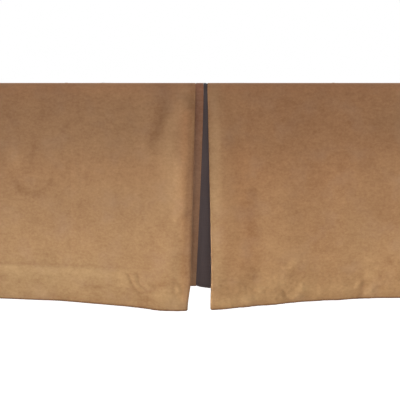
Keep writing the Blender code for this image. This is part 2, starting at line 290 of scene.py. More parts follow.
def noise(node, coords, scale, detail, stretch=(1, 1, 1)):
    placed = node("Mapping", {"Vector": coords, "Scale": stretch})
    spots = {"Vector": placed, "Scale": scale, "Detail": detail, "Roughness": spotRoughness}
    return node("TexNoise", spots, "Fac")


def mathOf(node, operation, *values):
    return node("Math", dict(enumerate(values)), operation=operation)


def sumOf(node, parts, total):
    # a start plus each value times its weight
    for value, weight in parts:
        total = mathOf(node, "MULTIPLY_ADD", value, weight, total)
    return total


def blendColours(node, factor, first, second):
    return node("Mix", {"Factor": factor, "A": first, "B": second}, "Result", data_type="RGBA")


def dyed(node, colour, dye):
    return node("Mix", {"Factor": 1, "A": colour, "B": dye}, "Result", data_type="RGBA",
                blend_type="MULTIPLY")


def band(node, value, middle, edge):
    # 1 where a value is near 0, falling to 0 between middle and edge
    return node("MapRange", {"Value": value, "From Min": edge, "From Max": middle}, "Result")


def weaveHeight(node, coords, pitch):
    # warp and weft threads that pass over each other in turn
    ridges = []
    for axis in ("X", "Y"):
        turned = mathOf(node, "MULTIPLY", partOf(node, coords, axis), math.pi / pitch)
        ridges.append(mathOf(node, "ABSOLUTE", mathOf(node, "SINE", turned)))
    over = node("TexChecker", {"Vector": coords, "Scale": 1 / pitch}, "Fac")
    return node("Mix", {"Factor": over, "A": ridges[0], "B": ridges[1]}, "Result")


# the seams' stitches: thread and gap, how long and wide a thread shows, and how high it stands
seamThread = {"pitch": 0.0034, "halfLength": (0.30, 0.36), "halfWidth": (0.0002, 0.0005),
              "relief": (0.6, 0.0004)}


def stitchMask(node):
    # 1 on the thread of a row of stitches that runs along the second map's line, 0 elsewhere
    line = clothCoords(node, "stitch")
    pitch = seamThread["pitch"]
    beat = mathOf(node, "PINGPONG", partOf(node, line, "X"), pitch / 2)
    long = band(node, beat, *(pitch * share for share in seamThread["halfLength"]))
    aside = mathOf(node, "ABSOLUTE", partOf(node, line, "Y"))
    return mathOf(node, "MULTIPLY", long, band(node, aside, *seamThread["halfWidth"]))


def materialOf(name, look):
    # what a look may have: spots of tone (scale, detail, stretch and weight), marks in the nap with
    # painted shade and light, colours that fade along an axis (dye lots, a painted shade hue, painted
    # light), painted shade and sheen tints that follow attributes, dust, painted shade on edges, stripes,
    # and layers of relief
    material = bpy.data.materials.new(name)
    node = nodesOf(material)
    place = node("TexCoord", {}, "Object")
    coords = place if look.get("solid") else clothCoords(node)
    spots = [(noise(node, coords, *spot), weight) for *spot, weight in look["spots"]]
    shade = sumOf(node, spots, 0.5 - 0.5 * sum(weight for _, weight in spots))
    if "napMark" in look:
        # the nap attribute darkens the tone: nap marks, and painted shade and painted light
        shade = mathOf(node, "MULTIPLY_ADD", attribute(node, "nap"), -look["napMark"], shade)
    colour = blendColours(node, shade, look["dark"], look["light"])
    # colours that fade along an axis: dye lots, a painted shade hue and painted light
    for axis, start, end, low, high in look.get("fades", ()):
        along = band(node, partOf(node, place, axis), end, start)
        colour = dyed(node, colour, blendColours(node, along, low, high))
    # tints that follow attributes: painted shade and sheen hues
    for mark, low, high in look.get("shadeAndSheenTints", ()):
        colour = dyed(node, colour, blendColours(node, attribute(node, mark), low, high))
    if "dust" in look:
        *spot, most, dusty = look["dust"]
        settled = sumOf(node, [(noise(node, coords, *spot), most * 2)], -most)
        colour = blendColours(node, settled, colour, dusty)
    # painted shade: past a mark of 1 the colour turns dark brown, as along the hem's bottom edge
    if "shadedEdge" in look:
        start, full, shadeColour = look["shadedEdge"]
        colour = blendColours(node, band(node, attribute(node, "nap"), full, start), colour, shadeColour)
    if "stripes" in look:
        pitch, gap, line, ink = look["stripes"]
        across = mathOf(node, "PINGPONG", partOf(node, coords, "X"), pitch / 2)
        beside = mathOf(node, "ABSOLUTE", mathOf(node, "SUBTRACT", across, gap))
        colour = blendColours(node, band(node, beside, *line), colour, ink)
    heights = []
    if "weave" in look:
        pitch, *depth = look["weave"]
        heights.append((weaveHeight(node, coords, pitch), *depth))
    if "relief" in look:
        heights.append((shade, *look["relief"]))
    if "grain" in look:
        *spot, strength, depth = look["grain"]
        heights.append((noise(node, coords, *spot), strength, depth))
    if "thread" in look:
        mask = stitchMask(node)
        colour = blendColours(node, mask, colour, look["thread"])
        heights.append((mask, *seamThread["relief"]))
    inputs = {"Base Color": colour, **look["finish"]}
    normal = {}
    for height, strength, depth in heights:
        bump = {"Height": height, "Strength": strength, "Distance": depth}
        inputs["Normal"] = node("Bump", {**bump, **normal})
        normal = {"Normal": inputs["Normal"]}
    if "worn" in look:
        *spot, more, least = look["worn"]
        inputs["Roughness"] = sumOf(node, [(noise(node, coords, *spot), more)], least)
    return finishOf(material, inputs)


def clothFinish(roughness, specular, sheen, tint):
    return {"Roughness": roughness, "Specular IOR Level": specular, "Sheen Weight": sheen,
            "Sheen Roughness": 0.5, "Sheen Tint": tint}


# tan suede: a brushed nap with clouds of 7 cm, smudges of 2 cm, and a grain of 2 to 5 mm
suede = materialOf("tanSuede", {
    # the nap attribute darkens the suede with nap marks, painted shade and painted light
    "dark": (0.2985, 0.1494, 0.0688), "light": (0.5190, 0.3179, 0.1589), "napMark": 0.35,
    "spots": ((9.0, 3.0, (1, 0.7, 1), 0.60), (28.0, 2.0, (1, 1.2, 1), 0.33),
              (58.0, 1.0, (0.85, 1.15, 1), 0.25), (125.0, 1.0, (0.85, 1.15, 1), 0.44),
              (230.0, 1.0, (0.9, 1.1, 1), 0.52), (520.0, 1.0, 0.28)),
    # a painted shade hue, redder towards the top; two dye lots left and right of the middle; painted
    # light on the cloth over the base's edge
    "fades": (("Z", 0.020, 0.376, (0.993, 1.005, 0.965), (1.035, 0.930, 0.950)),
              ("X", -0.012, 0.012, (0.977, 1.011, 1.008), (1.007, 0.995, 0.962)),
              ("Z", 0.376, 0.389, (1, 1, 1), (1.12, 1.04, 1.04))),
    # a painted shade tint in and beside the pleat, and painted shade and sheen hues
    "shadeAndSheenTints": (("inside", (1, 1, 1), (1.01, 1.00, 1.25)),
                ("lean", (0.947, 1.004, 1.04), (1.062, 0.992, 0.96))),
    # dust at random, and painted shade on the hem's bottom edge
    "dust": (22.0, 2.0, 0.5, (0.46, 0.29, 0.185)), "shadedEdge": (1.0, 2.4, (0.150, 0.075, 0.034)),
    "grain": (900.0, 2.0, 0.25, 0.0004), "thread": (0.36, 0.21, 0.11),
    "finish": clothFinish(0.92, 0.18, 0.15, (1.0, 0.84, 0.66)),
})
# the pleats' dark cloth: a close plain weave with a faint uneven dye
darkCloth = materialOf("darkCloth", {
    # the nap attribute darkens it with painted shade towards the top
    "dark": (0.1040, 0.0800, 0.0796), "light": (0.1990, 0.1530, 0.1522), "napMark": 0.5,
    "spots": ((14.0, 2.0, (1, 0.6, 1), 0.5), (70.0, 1.0, (0.4, 10, 1), 0.4),
              (70.0, 1.0, (10, 0.4, 1), 0.4), (500.0, 2.0, 0.4)),
    "weave": (0.0007, 0.30, 0.0002), "grain": (1100.0, 2.0, 0.20, 0.0003),
    "thread": (0.085, 0.062, 0.064), "finish": clothFinish(0.88, 0.25, 0.08, (0.9, 0.85, 0.9)),
})
# the deck's white cotton, with thicker threads here and there both ways
deckCotton = materialOf("deckCotton", {
    "dark": (0.660, 0.645, 0.605), "light": (0.800, 0.790, 0.755),
    "spots": ((8.0, 2.0, 0.35), (60.0, 1.0, (0.4, 12, 1), 0.55), (60.0, 1.0, (12, 0.4, 1), 0.55)),
    "weave": (0.0008, 0.45, 0.0003), "grain": (800.0, 2.0, 0.15, 0.0003),
    "finish": clothFinish(0.90, 0.25, 0.10, (1.0, 1.0, 1.0)),
})
# polished cotton thread, with its ply drawn along it
threadFinish = materialOf("whiteThread", {
    "solid": True, "dark": (0.62, 0.60, 0.55), "light": (0.84, 0.82, 0.78),
    "spots": ((2600.0, 1.0, 1),), "relief": (0.5, 0.0002), "finish": {"Roughness": 0.55},
})
# the base's ticking: a close grey weave with pairs of fine stripes
tickingFinish = materialOf("greyTicking", {
    "dark": (0.50, 0.49, 0.47), "light": (0.68, 0.67, 0.645),
    "spots": ((9.0, 2.0, 0.5), (60.0, 1.0, (12, 0.4, 1), 0.7), (60.0, 1.0, (0.4, 12, 1), 0.7)),
    "stripes": (0.034, 0.0045, (0.00055, 0.00088), (0.30, 0.31, 0.33)),
    "weave": (0.0011, 0.5, 0.0004), "relief": (0.15, 0.0006),
    "finish": {"Roughness": 0.88, "Specular IOR Level": 0.25, "Sheen Weight": 0.08},
})
# the legs' wood: straight grain with fine pores, and a satin finish worn a little in places
woodFinish = materialOf("darkWood", {
    "solid": True, "dark": (0.034, 0.019, 0.012), "light": (0.105, 0.062, 0.038),
    "spots": ((9.0, 4.0, (14, 14, 0.9), 1.3), (30.0, 2.0, (30, 30, 1.2), 0.7)),
    "relief": (0.22, 0.0004), "worn": (26.0, 2.0, 0.35, 0.24),
    "finish": {"Coat Weight": 0.25, "Coat Roughness": 0.25},
})
feltFinish = materialOf("glideFelt", {
    "solid": True, "dark": (0.05, 0.045, 0.04), "light": (0.12, 0.11, 0.10),
    "spots": ((900.0, 3.0, 1),), "relief": (0.6, 0.0005), "finish": {"Roughness": 0.95},
})
print("materials made")


# the six drops, named by their side and the end of it that they reach: which way each folds, where
# its fold lies at the top and the hem, how it swings, droops and rolls there, and its grid
footDrop = {"cell": 0.0034, "fine": 0.360, "fineCell": 0.0025, "hemCell": 0.0021}
sideDrop = {"cell": 0.0050, "fine": 0.100, "fineCell": 0.0040, "hemCell": 0.0036,
            "roll": ((0.0, 0.0020, 0.018), (0.6, 0.0035, 0.018), (1.0, 0.0015, 0.014))}
drops = {
    "drop_foot_left": {**footDrop, "hand": -1, "fall": "bell", "top": -0.0081, "hem": -0.0172,
                       "kick": -0.0058, "swing": 0.0380, "droop": 0.0074, "round": 0.0080,
                       "hemRound": 0.0030,
                       "roll": ((0.0, 0.0012, 0.014), (0.3, 0.0019, 0.013), (0.5, 0.0024, 0.014),
                                (0.65, 0.0030, 0.018), (0.86, 0.0027, 0.016), (0.94, 0.0010, 0.008),
                                (1.0, 0.0006, 0.006))},
    "drop_foot_right": {**footDrop, "hand": 1, "fall": "slope", "top": 0.0135, "hem": 0.0224,
                        "kick": -0.0028, "swing": 0.0335, "droop": 0.0081, "round": 0.0028,
                        "hemRound": 0.0028,
                        "roll": ((0.0, 0.0036, 0.022), (0.25, 0.0042, 0.022), (0.4, 0.0050, 0.023),
                                 (0.6, 0.0048, 0.023), (0.75, 0.0026, 0.020), (1.0, 0.0014, 0.016))},
    "drop_left_head": {**sideDrop, "hand": -1, "fall": "slope", "top": -0.0110, "hem": -0.0175,
                       "kick": -0.0010, "swing": 0.0300, "droop": 0.0040, "round": 0.0050,
                       "hemRound": 0.0035},
    "drop_left_foot": {**sideDrop, "hand": 1, "fall": "bell", "top": 0.0105, "hem": 0.0165,
                       "kick": 0.0015, "swing": 0.0340, "droop": 0.0048, "round": 0.0040,
                       "hemRound": 0.0030},
    "drop_right_foot": {**sideDrop, "hand": -1, "fall": "bell", "top": -0.0100, "hem": -0.0185,
                        "kick": -0.0015, "swing": 0.0340, "droop": 0.0050, "round": 0.0040,
                        "hemRound": 0.0030},
    "drop_right_head": {**sideDrop, "hand": 1, "fall": "slope", "top": 0.0115, "hem": 0.0180,
                        "kick": 0.0010, "swing": 0.0280, "droop": 0.0038, "round": 0.0060,
                        "hemRound": 0.0040},
}
for name, drop in drops.items():
    _, drop["side"], drop["end"] = name.split("_")
# the grid of a drop: rows about the hem's top line and the cut edge, columns about the side hem
grid = {"hemLine": (-0.004, -0.002, -0.0008, 0.0004, 0.0016, 0.0030), "clear": 0.003,
        "cutEdge": (0.0020, 0.0010, 0.0004, 0.0), "cutClear": 0.4,
        "sideLine": (-0.003, -0.001, 0.001, 0.003, 0.006), "sideClear": 0.007,
        "plainCells": 1.6, "backCells": 1.3, "foldColumns": 13, "innerColumns": 7, "bandRows": 5,
        "turnRows": 7, "bandDown": -0.030}


# metres read from the tables in mm keep this many digits
digits = 7


def strokes(unit, table):
    # each row: its points one after another and its width, in mm, and its strength
    made = {}
    for side, rows in table.items():
        made[side] = []
        for row in rows:
            metres = [round(value / 1000, digits) for value in row[:-1]]
            points = tuple(zip(metres[:-1:2], metres[1::2]))
            made[side].append((points, metres[-1], round(row[-1] / unit, digits)))
    return made


# the creases of each side, as deep as their strength in mm (less than 0 is a ridge)
creases = strokes(1000, {
    "foot": (
        (-20, 374, -20, 310, -25, 245, -28, 170, 15, -4.6), (-30, 260, -34, 150, 30, -2.2),
        (-12, 330, -14, 215, 24, -1.6), (-30, 150, -50, 90, 18, -2),
        (40, 360, 46, 200, 50, 120, 18, -1.8), (-47, 358, -56, 334, -73, 299, 12, 1.2),
        (-66, 364, -72, 340, -84, 312, -96, 288, 12, -1.4), (101, 222, 108, 134, 112, 56, 24, 1.3),
        (-14, 181, -28, 167, -42, 151, 3.6, 1.4), (-21, 188, -38, 176, -50, 160, 5, -0.8),
        (-222, 329, -231, 95, 3, 0.3), (-206, 319, -214, 105, 3, 0.3),
        (-131, 70, -125, 61, -121, 50, -116.5, 41, -111, 35.5, -104, 34, -88, 36, -73, 34, 3, 1.4),
        (-111, 72, -108.5, 61, -108, 52, -104, 45, -98, 42, -90, 41, 2.8, 1.3),
        (-118, 64, -112, 48, 3.4, -0.4), (-98, 46, -87, 48, 4, -0.7), (-122, 26, -113, 19, 4, -0.7),
        (-168, 44, -155, 41, -139, 40.5, -118, 38, 2.4, 0.5), (-213, 39, -174, 41, 4.8, 1),
        (-90, 45, -70, 49, -48, 56, 5.8, 1.2), (-90, 31, -69, 33, 5.5, -1), (-44, 39, -32, 43, 6, -1),
        (152, 70, 165, 80, 180, 88, 5, -0.9), (145, 82, 154, 71, 4.5, -0.8),
        (104, 29, 111, 41, 5.5, -1.2), (73, 20, 89, 17, 100, 22, 5, -1),
        (131, 24, 139, 33, 149, 41, 3.8, 1), (146, 39, 151, 29, 157, 18, 161, 8, 4.2, 1.1),
        (171, 13, 180, 30, 188, 44, 5.2, -1.4), (281, 29, 290, 42, 296, 52, 4.6, -1.2),
        (301, 50, 299, 34, 296, 22, 293, 8, 5.2, 1.4), (310, 14, 316, 38, 5.5, -1.1),
        (303, 34, 311, 43.5, 319, 45, 2.4, 1), (310, 38.5, 329, 38, 334, 43, 341, 55, 2.8, -0.8),
        (318, 36, 331, 33, 336, 37, 343, 49, 4.2, 1), (308, 68, 302, 45, 5, -0.9),
        (335, 47, 347, 26, 5, -0.8), (181, 25, 191, 41, 5.5, -0.8), (213, 41, 227, 19, 6, -0.8),
        (251, 25, 265, 41, 5, -0.7), (560, 330, 500, 30, 40, 4), (-520, 340, -560, 30, 45, 4)),
    "left": (
        (-840, 300, -820, 20, 40, -4), (-420, 350, -470, 30, 45, 5), (-260, 260, -240, 20, 35, -3.5),
        (360, 350, 410, 30, 50, 5), (600, 280, 580, 20, 45, -4), (110, 70, 135, 40, 6, 1.6),
        (-240, 66, -215, 46, -190, 50, 5, 1.4), (640, 50, 664, 72, 6, -1.4)),
    "right": (
        (-840, 280, -860, 20, 45, -4), (-610, 350, -560, 30, 45, 5), (-300, 270, -320, 20, 40, -3.5),
        (280, 260, 300, 20, 35, -3.5), (480, 350, 520, 30, 50, 5), (800, 300, 780, 20, 45, -3.5),
        (-140, 64, -112, 42, 6, 1.6), (250, 50, 275, 68, 300, 64, 5, 1.4), (-700, 48, -676, 70, 6, -1.4)),
})
# marks brushed into the nap, and painted shade and light beside creases and folds, darker than the cloth
# round them (less than 0 is lighter)
napMarks = strokes(1, {
    "foot": (
        (-285, 292, -293, 261, 5, 0.5),
        (-324, 227, -316, 213, -297, 204, -275, 206, -260, 226, 5.5, 0.5),
        (-314, 215, -309, 210, 8, 0.35), (-258, 229, -252, 254, 6, 0.2),
        (-324, 281, -322, 257, 11, -0.35), (-331, 344, -321, 336, -317, 324, 6, 0.4),
        (-266, 369, -271, 336, 4.5, 0.3), (-235, 316, -221, 331, -202, 333, 5, 0.6),
        (-195, 379, -102, 373, 18, -0.5), (-148, 348, -134, 356, 5, 0.45),
        (-226, 256, -113, 213, 38, -0.22), (-200, 237, -199, 228, 7, 0.45),
        (-211, 184, -207, 175, 7, 0.35), (-66, 159, -68, 140, 9, 0.3), (-87, 134, -88, 56, 22, 0.3),
        (-54, 389, -61, 366, -65, 341, -72, 321, -82, 299, 9.5, 0.45), (-71, 359, -89, 316, 14, 0.3),
        (-29, 386, -32, 350, -48, 323, -65, 292, 9.5, -0.35), (-58, 279, -52, 197, 20, -0.6),
        (-22, 282, -22, 206, 7.5, -0.5), (-41, 266, -41, 204, 8, -0.3), (25, 392, 24, 316, 8, -0.25),
        (27, 316, 30, 179, 10, -0.85), (50, 274, 52, 152, 12, -0.45), (89, 213, 90, 107, 11, 0.45),
        (90, 205, 95, 134, 99, 62, 16, 0.28), (-18, 250, -21, 120, -23.5, 60, 6, 0.3),
        (85, 85, 91, 60, 12, 0.3), (50, 62, 55, 57, 5, 0.4), (106, 329, 308, 329, 42, 0.22),
        (145, 282, 242, 278, 20, 0.2), (242, 254, 247, 248, 6, 0.55), (265, 240, 291, 215, 14, -0.25),
        (311, 182, 338, 153, 22, 0.35), (81, 386, 86, 299, 5, 0.2), (248, 389, 255, 329, 6, 0.2),
        (-353, 70, -331, 72, 5, -0.6), (-364, 51, -354, 51, 6, 0.5), (-332, 46, -323, 47, 4, 0.45),
        (-303, 45, -290, 44, 4.6, 0.45), (-328, 22, -310, 20, 6, 0.5), (-302, 26, -283, 25, 7, -0.5),
        (-273, 20, -247, 18, -221, 17, 7, 0.45), (-213, 39, -174, 41, 6, 0.35),
        (-141, 62, -134, 44, 9, -0.55), (-84, 45, -70, 48, -48, 56, 6, 0.45),
        (-106, 23, -88, 21, 8, 0.4), (-78, 31, -68, 32, 5, -0.4), (76, 75, 103, 70, 4, 0.4),
        (71, 61, 100, 59, 5, 0.3), (152, 71, 163, 80, 175, 87, 5, -0.45), (150, 67, 150, 46, 8, -0.35),
        (161, 74.5, 179, 76.5, 3, -0.3), (166, 63, 202, 58, 9, 0.25), (104, 31, 111, 41, 5.5, -0.5),
        (77, 20, 100, 20, 5, -0.45), (102, 13, 115, 16, 5, 0.5), (121, 44, 199, 43, 14, -0.45),
        (168, 19, 176, 30, 182, 41, 5, -0.5), (220, 53, 234, 65, 262, 60, 9, 0.4),
        (279, 31, 287, 41, 4.5, -0.4), (296, 30, 290, 16, 8, 0.35), (308, 20, 312, 34, 5.5, -0.4),
        (307, 53, 316, 51, 6, -0.4), (322, 57, 326, 50, 5.5, 0.4), (341, 84, 348, 76, 3.4, 0.6),
        (352, 79, 356, 88, 3.4, -0.35), (323, 84, 328, 76, 4.5, -0.35), (300, 78, 309, 83, 6, -0.4),
        (118, 254, 127, 167, 12, 0.22), (78, 268, 80, 203, 12, -0.35), (38, 159, 49, 87, 14, 0.22),
        (-170, 346, -82, 346, 26, -0.22), (-248, 333, -197, 329, 20, -0.28),
        (-203, 288, -129, 285, 28, -0.25), (-167, 209, -155, 146, 20, -0.22),
        (-316, 264, -278, 255, 18, -0.25), (-163, 96, -88, 99, 14, 0.25), (-95, 73, -88, 56, 10, 0.25),
        (-65, 339, -65, 289, 10, 0.25), (-345, 238, -262, 240, 26, -0.22),
        (-50, 322, -52, 240, 13, -0.44), (-235, 220, -70, 224, 18, -0.18), (-250, 84, -90, 86, 10, 0.18),
        (-12.5, 380, -12.5, 352, 3.6, 0.45), (-111, 35.5, -104, 34.5, -88, 36.5, -77, 35.5, 3.2, 0.55),
        (-98, 51, -88, 55, 5, -0.3), (-85, 76, -62, 62, 13, 0.18), (-355, 50, -250, 48, 14, -0.16),
        (46, 22, 100, 20, 9, -0.25), (135, 74, 140, 50, 10, -0.25), (262, 40, 268, 20, 9, -0.3),
        (24, 20, 36, 14, 8, -0.4), (-36, 262, -36, 200, 10, -0.22), (-345, 22, -332, 21, 8, -0.4),
        (-124, 29, -92, 14, 14, 0.42), (-60, 28, -47, 18, 12, -0.5), (28, 350, 30, 200, 8, -0.35),
        (17, 270, 19, 185, 7, -0.45), (20.5, 120, 22.5, 40, 5, 0.4), (48, 150, 58, 100, 13, 0.22),
        (92, 110, 92, 55, 12, -0.28), (150, 104, 184, 98, 16, -0.34), (338, 72, 362, 66, 15, 0.42),
        (32, 18, 52, 14, 9, -0.55), (240, 36, 266, 30, 8, -0.4), (190, 36, 214, 26, 8, -0.35),
        (318, 268, 348, 240, 14, -0.22), (262, 196, 268, 168, 12, -0.2), (334, 172, 348, 168, 20, 0.25),
        (335, 51, 360, 51, 11, 0.35), (-31, 107, -28, 72, 7, 0.3), (46, 14, 111, 18, 181, 21, 9, -0.5)),
    "left": (
        (-300, 250, -240, 200, -260, 150, 12, 0.35), (550, 300, 620, 240, 14, 0.3),
        (-700, 200, -660, 120, 18, -0.3)),
    "right": (
        (220, 280, 280, 220, 340, 240, 12, 0.35), (-520, 180, -440, 140, 14, 0.3),
        (640, 240, 700, 160, 18, -0.3)),
})
# painted shade and sheen hues: browner than the cloth round it in shade, paler in light (less than 0 is
# paler)
leans = strokes(1, {
    "foot": (
        (-21, 340, -26, 30, 10, 1.3), (24.5, 380, 26, 50, 13, -1), (70, 270, 85, 90, 22, 0.7),
        (-330, 390, -50, 390, 24, 0.8), (-330, 245, -80, 245, 35, 0.5), (-340, 60, -180, 60, 28, -0.4),
        (315, 330, 360, 330, 30, -0.6), (290, 130, 360, 130, 50, -0.35), (110, 240, 240, 240, 40, 0.4)),
    "left": (
        (-20, 330, -26, 30, 12, 0.8), (22, 380, 26, 50, 14, -0.8)),
    "right": (
        (-20, 330, -26, 30, 12, 0.8), (22, 380, 26, 50, 14, -0.8)),
})
# narrow creases also get painted shade as deep as they are, and the marks on the cloth stay within limits
creaseShadePaint = {"strength": 320.0, "most": 0.5}
napLimits = (-1, 0.9)
# painted shade along the hem's bottom edge and near the hem, painted shade and painted light round the
# base's top edge, painted shade above the hem's top line and painted light just inside the hem: how
# strong, where, and over what reach
edgeShadePaint = {"hem": (2.4, 0, 0.0024), "nearHem": (0.45, 0, 0.007), "top": (0.12, -0.016, 0.0028),
        "edge": (-0.70, -0.0088, 0.0055), "hemTop": (0.68, -0.0045, 0.0032),
        "inHem": (-0.58, 0.007, 0.011)}
# painted shade in the pleat: the folded-in cloth is darker at its top and lighter at its hem with a
# browner hue, and the front beside the left drops' folds takes its painted shade tint
pleatShadePaint = {"top": 1.0, "hem": -0.8, "fall": (0.05, 0.35), "lean": 0.6, "leanMore": 0.4,
           "leanFall": (0.35, 0.3), "roll": 0.38, "rollReach": 0.015, "rollFall": (0.15, 0.25)}
# how clearly the hem's top line shows along each side, and how spread it is where it doesn't
hemShows = {"foot": ((-0.78, 1.0), (-0.150, 1.0), (-0.100, 0.0), (0.130, 0.0), (0.300, 0.45),
                     (0.50, 0.8)),
            "left": ((-1.0, 1.0), (1.0, 0.7)), "right": ((-1.0, 0.7), (1.0, 1.0))}
hemStep = {"pressed": 0.002, "loose": 0.016}
# broad and fine unevenness of the hung cloth: length, size, and how far it is drawn out downwards
sideWaves = ((0.160, 0.0006, 2.5), (0.060, 0.00018, 1.6))
clothWaves = {"foot": ((0.120, 0.00045, 2.5), (0.045, 0.00012, 1.6), (0.020, 0.00005, 1.2)),
              "left": sideWaves, "right": sideWaves}
# waves of the hem outside the part near the fold: length, size and place
hemWaves = {"waves": ((0.410, 0.0022, 0.3), (0.236, 0.0013, 1.9), (0.151, 0.0007, 4.1)),
            "grow": (0.330, 0.12)}
# small puckers near the hem, fewer where it is pressed flat
puckers = {"waves": ((0.045, 0.00018, 0.8), (0.026, 0.00013, 0.8), (0.013, 0.00013, 0.8),
                     (0.0085, 0.00012, 0.8)), "seed": 11, "loose": 1.6, "pressed": 1.2,
           "low": (0.78, 0.10)}
# how much the hem's bottom edge waves and how far it lies above its cut line on each side, and the
# beat and place of the wave
hemRise = {"foot": (0.0, -0.0010), "left": (0.0008, 0.0), "right": (0.0008, 0.0), "beat": 33,
           "place": 0.7}
# where along its fall a fold kicks aside and its rounding changes, and the least that it turns
folding = {"kick": (0.82, 0.18), "roundAt": (0.75, 0.95), "leastTurn": 95, "steps": 50}


def foldAt(drop, share):
    return mix(drop["top"], drop["hem"], share) + drop["kick"] * ramp(share, *folding["kick"])


def nearFold(drop, t, share):
    return softTable(np.abs(t - foldAt(drop, share)), fallAway, falls[drop["fall"]])


def outerEnd(drop):
    half = sides[drop["side"]][3]
    if drop["end"] == "head":
        return drop["hand"] * (half - skirt["headBack"])
    return drop["hand"] * (half - bed["corner"] + quarter - skirt["cornerGap"] / 2)


def onSideHem(drop, t):
    return 1 - ramp(np.abs(outerEnd(drop) - t), skirt["sideHem"], skirt["beside"])


def seamLayer(drop, t):
    # how high the drop's seam lies: over the pleat's layers and the corner's insert it is raised
    away = np.abs(t - drop["top"]) - skirt["returnWidth"] - skirt["beside"]
    lift = (layers["front"] - layers["back"]) * (1 - smooth(away / skirt["stackEase"]))
    if drop["end"] != "head":
        away = np.abs(outerEnd(drop) - t) - skirt["cornerInsert"] - skirt["beside"]
        lift = lift + (layers["middle"] - layers["back"]) * (1 - smooth(away / skirt["stackEase"]))
    return seamLow + lift + layers["sideHemLift"] * onSideHem(drop, t)


def hemHeight(drop, t):
    wavy, level = hemRise[drop["side"]]
    drooped = skirt["faceHem"] - drop["droop"] * nearFold(drop, t, 1.0)
    return drooped + level + wavy * np.sin(t * hemRise["beat"] + hemRise["place"])


def outAt(drop, t, share):
    # how far the front stands out of the side at one level
    top = layers["front"] + layers["sideHemLift"] * onSideHem(drop, t)
    pull = 0.0
    if drop["end"] != "head":
        pull = skirt["cornerPull"] * (1 - smooth(np.abs(outerEnd(drop) - t) / skirt["cornerReach"]))
    wave = sum(size * np.sin(2 * math.pi * t / length + place)
               for length, size, place in hemWaves["waves"])
    wave = wave * ramp(np.abs(t), *hemWaves["grow"])
    hem = skirt["hemFlare"] + drop["swing"] * nearFold(drop, t, share) - pull + wave
    z = mix(edgeTop, hemHeight(drop, t), share)
    hang = mix(top, hem, share ** skirt["flarePower"])
    side = drop["side"]
    relief = drawnLines(creases[side], t, z, narrow["taper"]) + ripple(t, z, clothWaves[side], len(side))
    loose = puckers["loose"] - puckers["pressed"] * np.interp(t, *np.transpose(hemShows[side]))
    loose = loose * ramp(share, *puckers["low"])
    relief = relief + ripple(t, z, puckers["waves"], puckers["seed"]) * loose
    levels, deep, wide = np.transpose(drop["roll"])
    rolled = 1 - np.abs(t - foldAt(drop, share)) / np.interp(share, levels, wide)
    relief = relief + np.interp(share, levels, deep) * np.clip(rolled, 0, 1) ** 2
    return np.maximum(top, hang - relief * ramp(share, *skirt["easeIn"]))


def turnAtFold(depth, radii):
    # how far the cloth turns at the fold, so that its return ends in the back layer
    low, high = math.radians(folding["leastTurn"]), math.pi
    for _ in range(folding["steps"]):
        turn = (low + high) / 2
        if radii * (1 - math.cos(turn)) + skirt["returnWidth"] * math.sin(turn) > depth:
            low = turn
        else:
            high = turn
    return high


def seamAt(side, share):
    return mix(*insertSeams[side], share ** skirt["seamPower"])


def dropPath(drop, share, fronts, counts):
    # the drop in plan at one level: along the side, out of it, and where its hem will be
    along = -drop["hand"]
    fold = foldAt(drop, share)
    end = outerEnd(drop)
    radius = float(np.interp(share, folding["roundAt"], (drop["round"], drop["hemRound"])))
    radius = min(radius, (float(outAt(drop, np.array(fold), share)) - layers["back"]) / 4)
    t = end + (fold - along * radius - end) * fronts
    n = outAt(drop, t, share)
    hem = hemHeight(drop, t)
    depth = n[-1] - layers["back"]
    farFront = float(outAt(drop, np.array(fold - along * skirt["returnWidth"]), share))
    room = (farFront - layers["back"] - skirt["returnClear"]) / 2
    inner = min(skirt["innerRound"], depth / 4, room)
    turn = turnAtFold(depth, radius + inner)
    foldHem = float(hemHeight(drop, np.array(fold)))

    def add(newT, newN, newHem):
        nonlocal t, n, hem
        t, n = np.append(t, newT[1:]), np.append(n, newN[1:])
        hem = np.append(hem, np.broadcast_to(newHem, newT.shape)[1:])

    angle = np.linspace(0, turn, grid["foldColumns"])
    add(t[-1] + along * radius * np.sin(angle), n[-1] - radius * (1 - np.cos(angle)), foldHem)
    way = np.linspace(0, skirt["returnWidth"], counts["return"])
    rise = (skirt["insertHem"] - foldHem) * way / skirt["returnWidth"]
    # the folded-in part keeps clear of the creases pressed into the front
    backT, backN = t[-1] + along * way * math.cos(turn), n[-1] - way * math.sin(turn)
    order = np.argsort(t[:len(fronts)])
    clear = np.interp(backT, t[order], n[order]) - skirt["returnClear"]
    rest = np.maximum(clear, layers["back"] + 2 * inner)
    backN = np.where(np.abs(backT - fold) < radius, backN, np.minimum(backN, rest))
    add(backT, backN, foldHem + rise)
    angle = np.linspace(turn, 0, grid["innerColumns"])
    add(t[-1] + along * inner * (math.sin(turn) - np.sin(angle)),
        n[-1] - inner * (np.cos(angle) - math.cos(turn)), skirt["insertHem"])
    seam = skirt["insertFar"] + layers["gap"] / 2
    if drop["hand"] < 0:
        seam = seamAt(drop["side"], share) - layers["gap"] / 2
    back = np.linspace(t[-1], seam, counts["back"])
    add(back, np.full(back.shape, n[-1]), skirt["insertHem"])
    return t, n, hem


def fallShares(cell, hemCell, hemDepth, hemZ):
    # how far down each row lies, closer together at the hem's top line and at its bottom edge
    height = edgeTop - hemZ
    line = height - hemDepth + np.array(grid["hemLine"])
    line = line[line < height - grid["clear"]]
    upper = np.linspace(0, line[0], int(line[0] / cell) + 1)[1:-1]
    steps = max(2, int((height - line[-1]) / hemCell))
    lower = np.linspace(line[-1], height, steps + 1)[1:-1]
    edge = height - np.array(grid["cutEdge"])
    lower = lower[lower < edge[0] - hemCell * grid["cutClear"]]
    return np.concatenate([upper, line, lower, edge]) / height


